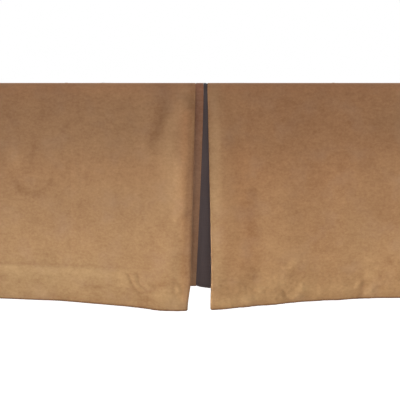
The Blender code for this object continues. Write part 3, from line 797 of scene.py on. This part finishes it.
# over how short a way the inner layers rise inside the pleat's two folds
pleatStep = {"before": 0.0004, "over": 0.0016}


def pleatLift(side, t):
    # between a pleat's two folds the inner layers are carried up level with the drops
    left, right = sorted(drop["top"] for drop in drops.values() if drop["side"] == side)
    inGap = ramp(t - left + pleatStep["before"], 0, pleatStep["over"])
    inGap = inGap * ramp(right + pleatStep["before"] - t, 0, pleatStep["over"])
    return (layers["front"] - layers["back"]) * inGap


def overEdge(turn, n, back=0.0):
    radius = bed["edge"] + n
    return -bed["edge"] - back + radius * math.sin(turn), edgeTop + radius * math.cos(turn)


def hangingGrid(side, paths, seamOf, shares):
    # rows of points on top of the base, round its edge, and down its side
    topT, topN, _ = paths[0]
    lift = pleatLift(side, topT)
    seam = seamOf(topT, topN)
    rows = []
    for share in np.linspace(0, 1, grid["bandRows"])[:-1]:
        n = mix(seam, topN + lift, float(smooth(share)))
        rows.append((topT, *overEdge(0.0, n, skirt["band"] * (1 - share))))
    for turn in np.linspace(0, math.pi / 2, grid["turnRows"]):
        rows.append((topT, *overEdge(turn, topN + lift * math.cos(turn) ** 2)))
    for share, (t, n, hem) in zip(shares, paths[1:]):
        rows.append((t, n, mix(edgeTop, hem, share)))
    return np.array([np.stack([*inPlan(side, t, out), z], axis=-1) for t, out, z in rows])


def clothUv(points, offset):
    # the flat lie of the cloth in metres: across along a middle row, down along one column
    lengths = []
    for line in (points[points.shape[0] // 2], points[:, points.shape[1] // 3]):
        lengths.append(np.append(0, np.cumsum(np.linalg.norm(np.diff(line, axis=0), axis=1))))
    across, down = lengths
    return pairs(across[None, :] + offset, offset - down[:, None])


def frontColumns(drop, width):
    # distances of the front's columns from its outer end, finer towards the fold
    hemEdge = np.array(grid["cutEdge"])[::-1]
    hemLine = skirt["sideHem"] + np.array(grid["sideLine"])
    plain = width - drop["fine"]
    even = np.linspace(0, plain, int(plain / (drop["cell"] * grid["plainCells"] * easy)))
    fine = np.linspace(plain, width, int(drop["fine"] / (drop["fineCell"] * easy)))[1:]
    even = even[(even > grid["clear"]) & (np.abs(even - skirt["sideHem"]) > grid["sideClear"])]
    return np.sort(np.concatenate([hemEdge, hemLine, even, fine]))


# a drop's flat size and its pattern: what its seams and its side hem take, its length as cut, how far
# apart the patterns of two drops start, and how far inside the hems' edges their seams run
cut = {"seams": 0.06, "length": 0.47, "patternStep": 3.7, "sideSeam": 0.003, "turnedIn": 0.002}


def buildDrop(name, drop):
    cell = drop["cell"] * easy
    width = abs(outerEnd(drop) - drop["top"])
    across = frontColumns(drop, width)
    fronts = across / width
    behind = skirt["backLayer"] if drop["hand"] < 0 else skirt["backSeam"]
    counts = {"return": int(skirt["returnWidth"] / (cell * grid["backCells"])) + 2,
              "back": int(behind / (cell * grid["backCells"])) + 3}
    shares = fallShares(cell, drop["hemCell"] * easy, skirt["hemDepth"], skirt["faceHem"])

    def seamOf(t, n):
        low = n - (layers["back"] - seamLow)
        low[:len(fronts)] = seamLayer(drop, t[:len(fronts)])
        return low

    paths = [dropPath(drop, float(share), fronts, counts) for share in (0.0, *shares)]
    points = hangingGrid(drop["side"], paths, seamOf, shares)
    rows, columns = points.shape[:2]
    overBase = rows - len(shares)
    height = edgeTop - skirt["faceHem"]
    down = np.concatenate([np.linspace(grid["bandDown"], 0, overBase), shares * height])
    hemTop = height - skirt["hemDepth"]
    across = np.concatenate([across, np.full(columns - len(across), width)])
    along = outerEnd(drop) - drop["hand"] * across
    shows = np.interp(along, *np.transpose(hemShows[drop["side"]]))
    step = hemStep["pressed"] + hemStep["loose"] * (1 - shows)
    turnedUp = smooth((down[:, None] - hemTop + step / 2) / step)
    turnedIn = 1 - smooth((across - skirt["sideHem"] + cut["turnedIn"] / 2) / cut["turnedIn"])
    thick = 0.5 + 0.5 * np.maximum(turnedUp, turnedIn[None, :])
    thick = thick * thinEdge(height - down)[:, None] * thinEdge(across)[None, :]
    fromSeam = across[None, :] - skirt["sideHem"] + cut["sideSeam"]
    stitch = pairs(down[:, None], fromSeam)

    # nap marks with painted shade and light, painted shade in narrow creases, and painted shade and sheen
    # hues
    # painted shade in each narrow crease, stronger the deeper it is
    marks = [(line, wide, min(deep * creaseShadePaint["strength"], creaseShadePaint["most"]))
             for line, wide, deep in creases[drop["side"]] if wide < narrow["line"]]
    t = np.array([path[0] for path in paths])
    levels = np.append(0, shares)[:, None]
    z = mix(edgeTop, np.array([path[2] for path in paths]), levels)

    def overTop(values):
        # the rows on top of the base carry on what the first row has
        return np.vstack([np.repeat(values[:1], overBase, axis=0), values[1:]])

    hung = drawnLines(napMarks[drop["side"]], t, z) + drawnLines(marks, t, z, narrow["taper"])
    nap = overTop(np.clip(hung, *napLimits))
    beside = smooth(1 - np.abs(t - foldAt(drop, levels)) / pleatShadePaint["rollReach"])
    beside = beside * ramp(levels, *pleatShadePaint["rollFall"])
    # a painted shade tint on the front beside the left drops' folds
    inside = overTop((pleatShadePaint["roll"] if drop["hand"] < 0 else 0) * beside)
    # painted shade and sheen hues from the lines above
    lean = overTop(np.clip(0.5 + 0.5 * drawnLines(leans[drop["side"]], t, z), 0, 1))

    # the part folded in gets painted shade and hues, then painted shade and light along the edges and
    # about the hem's top line
    inFold = len(fronts) + grid["foldColumns"] - 1
    # the folded-in part takes the full painted shade tint, a browner painted shade hue, and painted shade
    # darker at its top
    inside[:, inFold:] = 1
    lean[:, inFold:] = overTop(pleatShadePaint["lean"] + pleatShadePaint["leanMore"] * ramp(levels, *pleatShadePaint["leanFall"]))
    shaded = mix(pleatShadePaint["top"], pleatShadePaint["hem"], ramp(shares, *pleatShadePaint["fall"]))
    nap[:, inFold:] = np.append(np.full(overBase, shaded[0]), shaded)[:, None]
    # distances for the painted shade and light along the edges
    worn = {"hem": height - down, "nearHem": height - down, "top": down, "edge": down}
    for place, distance in worn.items():
        nap += streak(distance, *edgeShadePaint[place])[:, None]
    # painted shade above the hem's top line and painted light just inside the hem, where that line shows
    pressed = streak(down - hemTop, *edgeShadePaint["hemTop"]) + streak(down - hemTop, *edgeShadePaint["inHem"])
    nap += pressed[:, None] * shows[None, :]
    uv = clothUv(points, cut["patternStep"] * (1 + list(drops).index(name)))
    piece = sheetFrom(name, points, thick, drop["hand"] > 0, uv, stitch, nap=nap, inside=inside,
                      lean=lean)
    backWidth = skirt["backLayer"] * (drop["hand"] < 0)
    flat = (round(width + skirt["returnWidth"] + backWidth + cut["seams"], 2), cut["length"])
    node = f"{drop['side']}_drop_{drop['end']}"
    finishPiece(piece, [suede], "skirt_tan_suede", node, flat=flat, held="hung",
                rests_on=["bed_base", "deck"])


for name, drop in drops.items():
    buildDrop(name, drop)
    print("sewn", name)


# the dark cloths at the back of the pleats and round the corners: their grid, hems, how far they
# sink behind the drops' edges, their billow, and their painted shade, darker at the top and lighter
# towards the hem
inserts = {"cell": 0.0035, "hemCell": 0.002, "cornerCells": 1.3, "hem": 0.0065, "under": 0.0025,
           "sink": 0.0014, "hemSink": 0.0028, "sinkFall": (0.6, 0.15), "sinkEdge": (0.003, 0.008),
           "billow": 0.0016, "billowFall": (0.15, 0.5), "billowEase": (0, 0.3),
           "wave": (0.060, 0.0004, 3.0), "waveSeed": 7, "waveLength": 0.35,
           "cornerBillow": 0.0022, "cornerFall": (0.35, 0.5), "hemStep": 0.0016,
           "stitchDown": 0.001, "seams": 0.018, "cutHeight": 0.415,
           "napTop": 1.1, "napHem": -0.35, "napReach": 0.36, "patternStep": 1.3,
           "pleats": {"insert_foot": "foot", "insert_left": "left", "insert_right": "right"},
           "corners": {"insert_corner_left": ("left", "foot"), "insert_corner_right": ("foot", "right")}}


def insertFinish(name, node, points, shares, width):
    rows, columns = points.shape[:2]
    height = edgeTop - skirt["insertHem"]
    down = np.concatenate([np.full(rows - len(shares), -1.0), shares * height])
    fromHem = down - (height - inserts["hem"])
    thick = 0.5 + 0.5 * smooth((fromHem + inserts["hemStep"] / 2) / inserts["hemStep"])
    thick = np.repeat((thick * thinEdge(height - down))[:, None], columns, axis=1)
    across = np.linspace(0, width, columns)
    fromSeam = fromHem[:, None] - inserts["stitchDown"]
    stitch = pairs(across[None, :], fromSeam)
    # painted shade: darker at the top, lighter towards the hem
    lower = smooth(down / height / inserts["napReach"])
    nap = mix(inserts["napTop"], inserts["napHem"], lower)
    nap = np.repeat(nap[:, None], columns, axis=1)
    uv = clothUv(points, inserts["patternStep"] * (1 + len(name)))
    piece = sheetFrom(name, points, thick, False, uv, stitch, nap=nap)
    flat = (round(width + inserts["seams"], 3), inserts["cutHeight"])
    finishPiece(piece, [darkCloth], "pleat_dark_cloth", node, flat=flat, held="hung",
                rests_on=["bed_base"])


def insertSeam(t, n):
    return n - (layers["back"] - seamLow)


def buildPleatInsert(name, side):
    cell = inserts["cell"] * easy
    across = np.linspace(0, 1, int(skirt["insertFar"] / cell))
    bulge = np.sin(math.pi * across)

    def pathAt(share):
        # its low edge is sewn a little behind the drop's, deeper where that is hemmed
        behind = ramp(share, *skirt["easeIn"])
        start = seamAt(side, share) + layers["gap"] / 2 - inserts["under"] * behind
        end = skirt["insertFar"] - layers["gap"] / 2
        t = mix(start, end, across)
        deep = mix(inserts["sink"], inserts["hemSink"], ramp(share, *inserts["sinkFall"]))
        sunk = deep * behind * (1 - ramp(t - start, *inserts["sinkEdge"]))
        billow = inserts["billow"] * bulge ** 2 * ramp(share, *inserts["billowFall"])
        level = np.array(share * inserts["waveLength"])
        wave = ripple(t, level, (inserts["wave"],), inserts["waveSeed"]) * bulge
        n = layers["back"] - sunk + (billow + wave) * ramp(share, *inserts["billowEase"])
        return t, n, skirt["insertHem"] - skirt["insertSag"] * bulge

    shares = fallShares(cell, inserts["hemCell"], inserts["hem"], skirt["insertHem"])
    points = hangingGrid(side, [pathAt(share) for share in (0.0, *shares)], insertSeam, shares)
    insertFinish(name, f"{side}_insert", points, shares, skirt["insertFar"])


def buildCornerInsert(name, first, second):
    cell = inserts["cell"] * inserts["cornerCells"] * easy
    width = skirt["cornerInsert"]
    reach = [sides[side][3] - bed["corner"] + quarter for side in (first, second)]
    way = np.linspace(0, width, int(width / cell))
    shares = fallShares(cell, inserts["hemCell"], inserts["hem"], skirt["insertHem"])
    halves = []
    for side, t, away in ((first, reach[0] - width + way, width - way),
                          (second, -(reach[1] - way[1:]), way[1:])):
        swell = np.cos(away / width * math.pi / 2) ** 2
        paths = []
        for share in (0.0, *shares):
            n = layers["back"] + inserts["cornerBillow"] * swell * ramp(share, *inserts["cornerFall"])
            paths.append((t, n, np.full(t.shape, skirt["insertHem"])))
        halves.append(hangingGrid(side, paths, insertSeam, shares))
    points = np.concatenate(halves, axis=1)
    insertFinish(name, name.replace("insert_corner", "corner_insert"), points, shares, width * 2)


for name, side in inserts["pleats"].items():
    buildPleatInsert(name, side)
for name, pair in inserts["corners"].items():
    buildCornerInsert(name, *pair)
print("inserts sewn in")


# the white deck that lies on the base, with soft folds from its packing and puckers at its seams
deck = {"thick": 0.0010, "hem": 0.0016, "hemWidth": 0.014, "hemStep": 0.002, "headReach": 0.013,
        "corner": 0.0137, "cell": 0.013, "edgeCell": 0.0045, "edgeReach": 0.050,
        "calm": (0.006, 0.05),
        "waves": ((0.420, 0.0012, 1.0), (0.190, 0.0006, 1.0), (0.070, 0.00022, 1.0)),
        "waveSeed": 5, "waveRise": 0.0012,
        "foldsAcross": (-0.42, 0.06, 0.55), "foldsAlong": (-0.365, 0.0, 0.362),
        "foldRise": 0.0014, "foldWidth": 0.007,
        "puckerRise": 0.0007, "puckerPitch": 0.017, "puckerDrift": (2, 31),
        "puckerFrom": (0.004, 0.006), "puckerReach": 0.016, "seams": 0.02, "hems": 0.04}
deckRim = bed["edge"] + skirt["band"] + layers["gap"]
deckHalf = bed["width"] / 2 - deckRim
deckFoot = bed["shift"] - bed["length"] / 2 + deckRim
deckHead = deckFoot + bed["length"] - 2 * deckRim + deck["headReach"]


def deckSteps(low, high):
    # columns or rows of the deck, closer together along its edges
    rim = np.arange(0, deck["edgeReach"], deck["edgeCell"] * easy)
    count = int((high - low) / (deck["cell"] * easy))
    middle = np.linspace(low + deck["edgeReach"], high - deck["edgeReach"], count)
    return np.concatenate([low + rim, middle, (high - rim)[::-1]])


def buildDeck():
    x, y = np.meshgrid(deckSteps(-deckHalf, deckHalf), deckSteps(deckFoot, deckHead)[::-1])
    radius = deck["corner"]
    inX = np.clip((np.abs(x) - deckHalf + radius) / radius, 0, 1)
    low = np.clip((deckFoot + radius - y) / radius, 0, 1)
    high = np.clip((y - deckHead + radius) / radius, 0, 1)
    inY = low + high
    # the grid's square corners are drawn in to round ones
    both = (inX > 0) & (inY > 0)
    shrink = np.where(both, np.maximum(inX, inY) / np.where(both, np.hypot(inX, inY), 1), 1)
    flatX = np.sign(x) * (np.abs(x) - radius * inX * (1 - shrink))
    flatY = y + radius * (low - high) * (1 - shrink)
    side = deckHalf - np.abs(x)
    sewn = np.minimum(side, y - deckFoot)
    calm = ramp(np.minimum(sewn, deckHead - y), *deck["calm"])
    waves = ripple(x, y, deck["waves"], deck["waveSeed"])
    rise = np.maximum(waves + deck["waveRise"], 0) * calm
    for place, middles in ((x, deck["foldsAlong"]), (y, deck["foldsAcross"])):
        for middle in middles:
            rise += streak(place, deck["foldRise"], middle, deck["foldWidth"]) * calm
    alongEdge = np.where(side < y - deckFoot, y, x)
    swing, turns = deck["puckerDrift"]
    beat = np.sin(2 * math.pi * alongEdge / deck["puckerPitch"] + swing * np.sin(alongEdge * turns))
    fade = ramp(sewn, *deck["puckerFrom"]) * np.exp(-np.maximum(sewn, 0) / deck["puckerReach"])
    rise += deck["puckerRise"] * (1 + beat) * fade
    hemmed = smooth((deck["hemWidth"] - (deckHead - y)) / deck["hemStep"])
    cloth = mix(deck["thick"], deck["hem"], hemmed)
    points = np.stack([flatX, flatY, bed["top"] + layers["gap"] + cloth / 2 + rise], axis=-1)
    piece = sheetFrom("deck_cloth", points, cloth / layers["hem"], False, pairs(x, y))
    size = (round(2 * deckHalf + deck["seams"], 3), round(deckHead - deckFoot + deck["hems"], 3))
    finishPiece(piece, [deckCotton], "deck_white_cotton", "deck", flat=size, held="laid",
                rests_on=["bed_base"])


buildDeck()
print("deck laid")


def pick(piece, kind, keep):
    # in edit mode: select the faces or edges whose middle and normal or direction pass a test
    bpy.ops.mesh.select_mode(type=kind)
    bpy.ops.mesh.select_all(action="DESELECT")
    bm = bmesh.from_edit_mesh(piece.data)
    for part in bm.faces if kind == "FACE" else bm.edges:
        if kind == "FACE":
            part.select = keep(part.calc_center_median(), part.normal)
        else:
            a, b = (v.co for v in part.verts)
            part.select = keep((a + b) / 2, (b - a).normalized())
    bm.select_flush_mode()
    bmesh.update_edit_mesh(piece.data)


# how near a level an edge lies that is picked at it, and how flat or upright it is
picking = {"near": 1e-4, "flat": 0.1, "upright": 0.9, "leaning": 0.3}


def bevelRing(piece, level, width, steps):
    # round the flat ring of edges at one level
    pick(piece, "EDGE", lambda middle, way: (abs(way.z) < picking["flat"]
                                             and abs(middle.z - level) < picking["near"]))
    bpy.ops.mesh.bevel(offset=width, segments=steps, affect="EDGES")


def insetBand(piece, level, reach, steepest, inset, depth):
    # raise or sink the upright faces about one level
    pick(piece, "FACE", lambda centre, normal: abs(centre.z - level) < reach and abs(normal.z) < steepest)
    bpy.ops.mesh.inset(thickness=inset, depth=depth, use_boundary=True)


def cutAt(levels):
    for level in levels:
        bpy.ops.mesh.select_all(action="SELECT")
        bpy.ops.mesh.bisect(plane_co=(0, 0, level), plane_no=(0, 0, 1))


def placeInMesh():
    bpy.ops.object.transform_apply(location=True, rotation=True, scale=True)


# the seam stitches on the deck: rows along its edges, and five at each foot corner, the first on
# the seam and the others curving in over the deck
stitch = {"length": 0.0026, "width": 0.0008, "height": 0.0005, "pitch": 0.0038, "inboard": 0.003,
          "hemInboard": 0.011, "cornerAngles": (9, -9, -27, -45, -63), "segments": 6, "rings": 4}
stitchZ = bed["top"] + layers["gap"] + deck["thick"]


def oneStitch(x, y, turn, lift=0.0):
    deselect()
    bpy.ops.mesh.primitive_uv_sphere_add(segments=stitch["segments"], ring_count=stitch["rings"],
                                         radius=0.5, location=(x, y, stitchZ + lift),
                                         rotation=(0, 0, turn))
    made = bpy.context.object
    made.scale = (stitch["length"], stitch["width"], stitch["height"])
    placeInMesh()
    return made


def stitchRun(start, end, lift=0.0):
    steps = int(math.dist(start, end) / stitch["pitch"])
    stepX, stepY = ((b - a) / steps for a, b in zip(start, end))
    made = oneStitch(*start, math.atan2(stepY, stepX), lift)
    applied(made, "ARRAY", use_relative_offset=False, use_constant_offset=True,
            constant_offset_displace=(stepX, stepY, 0), count=steps)
    return made


def stitchCorner(sign):
    radius = deck["corner"] - stitch["inboard"]
    middle = (sign * (deckHalf - deck["corner"]), deckFoot + deck["corner"])
    made = []
    for angle in np.radians(np.array(stitch["cornerAngles"]) * sign - 90):
        made.append(oneStitch(middle[0] + radius * math.cos(angle), middle[1] + radius * math.sin(angle),
                              angle + math.pi / 2))
    return made


def buildStitches():
    side, across = deckHalf - stitch["inboard"], deckHalf - deck["corner"]
    low, high = deckFoot + deck["corner"], deckHead - deck["corner"]
    foot, head = deckFoot + stitch["inboard"], deckHead - stitch["hemInboard"]
    rows = [stitchRun((-side, low), (-side, high)), stitchRun((side, low), (side, high)),
            stitchRun((-across, foot), (across, foot)),
            stitchRun((-across, head), (across, head), deck["hem"] - deck["thick"]),
            *stitchCorner(-1), *stitchCorner(1)]
    deselect()
    for row in rows:
        row.select_set(True)
    piece = rows[0]
    bpy.context.view_layer.objects.active = piece
    bpy.ops.object.join()
    piece.name = piece.data.name = "deck_stitches"
    piece.data.shade_smooth()
    finishPiece(piece, [threadFinish], "deck_white_cotton")


buildStitches()
print("deck stitched")


# the bed base: a box foundation in ticking, with a tape sewn round it near its top and bottom
base = {"bevelSteps": 8, "edgeSteps": 5, "tapeWidth": 0.022, "tapeRise": 0.0008, "tapeInset": 0.0010,
        "tapeClear": 0.001, "smoothTo": 40}


def buildBase():
    height = bed["top"] - bed["legs"]
    deselect()
    bpy.ops.mesh.primitive_cube_add(size=1, location=(0, bed["shift"], bed["legs"] + height / 2),
                                    scale=(bed["width"], bed["length"], height))
    box = bpy.context.object
    box.name = box.data.name = "foundation"
    placeInMesh()
    bpy.ops.object.mode_set(mode="EDIT")
    pick(box, "EDGE", lambda middle, way: abs(way.z) > picking["upright"])
    bpy.ops.mesh.bevel(offset=bed["corner"], segments=base["bevelSteps"], affect="EDGES")
    for level in (bed["top"], bed["legs"]):
        bevelRing(box, level, bed["edge"], base["edgeSteps"])
    low = bed["legs"] + bed["edge"] + base["tapeClear"]
    high = bed["top"] - bed["edge"] - base["tapeClear"]
    wide = base["tapeWidth"]
    cutAt((low, low + wide, high - wide, high))
    for middle in (low + wide / 2, high - wide / 2):
        insetBand(box, middle, wide / 3, picking["flat"], base["tapeInset"], base["tapeRise"])
    bpy.ops.mesh.select_all(action="SELECT")
    bpy.ops.uv.cube_project(cube_size=1.0, correct_aspect=False)
    bpy.ops.object.mode_set(mode="OBJECT")
    box.data.uv_layers[0].name = "cloth"
    bpy.ops.object.shade_smooth_by_angle(angle=math.radians(base["smoothTo"]))
    finishPiece(box, [tickingFinish], "base_grey_ticking", "bed_base")


buildBase()
print("base covered")


# the six legs: turned dark wood, tapered, with a groove near the top and a felt glide underneath
leg = {"inset": 0.085, "foot": 0.022, "crown": 0.030, "sides": 48, "bevel": 0.0022, "bevelSteps": 3,
       "glide": 0.0040, "glideInset": 0.0035, "grooves": ((0.150, 0.0030), (0.158, 0.0016)),
       "grooveSlope": 0.2, "grooveDeep": 0.0012, "grooveWide": 0.003, "smoothTo": 35}


def modelLeg(x, y):
    # one leg at its own place on the floor
    glide = leg["glide"]
    height = bed["legs"] - layers["gap"] - glide
    deselect()
    bpy.ops.mesh.primitive_cone_add(vertices=leg["sides"], radius1=leg["foot"], radius2=leg["crown"],
                                    depth=height, location=(x, y, glide + height / 2))
    made = bpy.context.object
    placeInMesh()
    bpy.ops.object.mode_set(mode="EDIT")
    bevelRing(made, glide, leg["bevel"], leg["bevelSteps"])
    for level, width in leg["grooves"]:
        cutAt((level - width / 2, level + width / 2))
        insetBand(made, level, width / 3, picking["leaning"], width * leg["grooveSlope"],
                  -leg["grooveDeep"] * width / leg["grooveWide"])
    pick(made, "FACE", lambda centre, normal: (normal.z < -picking["upright"]
                                               and centre.z < glide + picking["near"]))
    bpy.ops.mesh.inset(thickness=leg["glideInset"])
    bpy.ops.mesh.extrude_region_move(TRANSFORM_OT_translate={"value": (0, 0, -glide)})
    bpy.ops.object.mode_set(mode="OBJECT")
    dress(made, woodFinish, feltFinish)
    for face in made.data.polygons:
        heights = [made.data.vertices[v].co.z for v in face.vertices]
        low, high = min(heights), max(heights)
        face.material_index = int(high < glide + picking["near"] and low < picking["near"])
    bpy.ops.object.shade_smooth_by_angle(angle=math.radians(leg["smoothTo"]))
    return made


def buildLegs():
    across = bed["width"] / 2 - leg["inset"]
    along = bed["length"] / 2 - leg["inset"]
    model = modelLeg(-across, bed["shift"] - along)
    for row, place in enumerate(("foot", "middle", "head")):
        for column, hand in enumerate(("left", "right")):
            node = f"leg_{place}_{hand}"
            piece = model
            if row or column:
                piece = addObject("turned_" + node, model.data.copy())
                piece.data.transform(Matrix.Translation((2 * across * column, along * row, 0)))
            piece.name = piece.data.name = "turned_" + node
            finishPiece(piece, [], "leg_dark_wood", node)


buildLegs()
print("legs turned")


# the view: level with the top of the skirt, turned down to its middle
view = {"distance": 0.85, "height": 0.3942, "tilt": 13.507, "lens": 43.874}
footFace = -bed["length"] / 2 + bed["shift"]
cameraData = bpy.data.cameras.new("camera")
cameraData.lens = view["lens"]
camera = addObject("camera", cameraData)
camera.location = (0, footFace - view["distance"], view["height"])
camera.rotation_euler = (math.radians(90 - view["tilt"]), 0, 0)
bpy.context.scene.camera = camera


def softLight(name, spot, aim, size, watts, spread):
    lamp = bpy.data.lights.new(name, "AREA")
    lamp.shape = "RECTANGLE"
    lamp.size, lamp.size_y = size
    lamp.energy = watts
    lamp.spread = math.radians(spread)
    light = addObject(name, lamp)
    light.location = spot
    light.rotation_euler = (Vector(aim) - Vector(spot)).to_track_quat("-Z", "Y").to_euler()
    light.visible_camera = False


# low rows of lamps along the skirt, each turned to shine along it from one end
sideRow = {"start": -3.40, "end": 0.80, "count": 10, "away": 0.45, "height": 0.035, "aim": 0.06,
           "turn": 60, "size": (0.45, 0.06), "watts": 0.25, "spread": 55}
lampRows = {
    "foot": {"start": -3.30, "end": 0.35, "count": 13, "away": 0.40, "height": 0.055, "aim": 0.10,
             "turn": 65, "size": (0.30, 0.06), "watts": 0.144, "spread": 50},
    "left": sideRow,
    "right": {**sideRow, "start": -0.80, "end": 3.40, "turn": -60},
}
softLights = {
    "lowFront": ((0, footFace - 0.92, 0.03), (0, footFace, 0.06), (3.0, 0.08), 0.78, 50),
    "overHead": ((0, 2.6, 3.0), (0, 0.3, 0.39), (2.4, 2.0), 26, 120),
    "headEnd": ((0.6, 3.6, 0.9), (0, 1.05, 0.25), (2.2, 0.9), 6, 120),
    "rightSide": ((3.4, 0.2, 0.8), (0.76, 0.1, 0.2), (2.2, 0.7), 8, 120),
    "leftSide": ((-3.4, 0.2, 0.8), (-0.76, 0.1, 0.2), (2.2, 0.7), 8, 120),
}


def lampRow(side, row):
    middle, along, outward, _ = sides[side]
    turn = math.radians(row["turn"])
    height = row["height"]
    drop = (height - row["aim"]) * math.cos(turn) / row["away"]
    for i, t in enumerate(np.linspace(row["start"], row["end"], row["count"])):
        x = middle[0] + along[0] * t + outward[0] * row["away"]
        y = middle[1] + along[1] * t + outward[1] * row["away"] + bed["shift"]
        aim = (x + along[0] * math.sin(turn) - outward[0] * math.cos(turn),
               y + along[1] * math.sin(turn) - outward[1] * math.cos(turn), height - drop)
        softLight(f"{side}Lamp{i + 1}", (x, y, height), aim, row["size"], row["watts"], row["spread"])


for side, row in lampRows.items():
    lampRow(side, row)
for name, values in softLights.items():
    softLight(name, *values)

# the room is brighter to the camera than to the cloth, and so is the floor
glow = {"room": (0.432, 1.0), "floor": (0.14, 1.05)}


def seenGlow(node, low, high):
    seen = node("LightPath", {}, "Is Camera Ray")
    return node("MapRange", {"Value": seen, "To Min": low, "To Max": high}, "Result")


world = bpy.data.worlds.new("studio")
bpy.context.scene.world = world
finishOf(world, {"Color": (1, 1, 1), "Strength": seenGlow(nodesOf(world), *glow["room"])}, "Background")

deselect()
bpy.ops.mesh.primitive_plane_add(size=14, location=(0, 0, 0))
floor = bpy.context.object
floor.name = "floor"
floorPaint = bpy.data.materials.new("whiteFloor")
floorGlow = seenGlow(nodesOf(floorPaint), *glow["floor"])
finishOf(floorPaint, {"Base Color": (0.8, 0.8, 0.8), "Roughness": 0.9, "Emission Color": (1, 1, 1),
                      "Emission Strength": floorGlow})
dress(floor, floorPaint)
bpy.context.scene.view_settings.view_transform = "Standard"
print("lights and camera set")
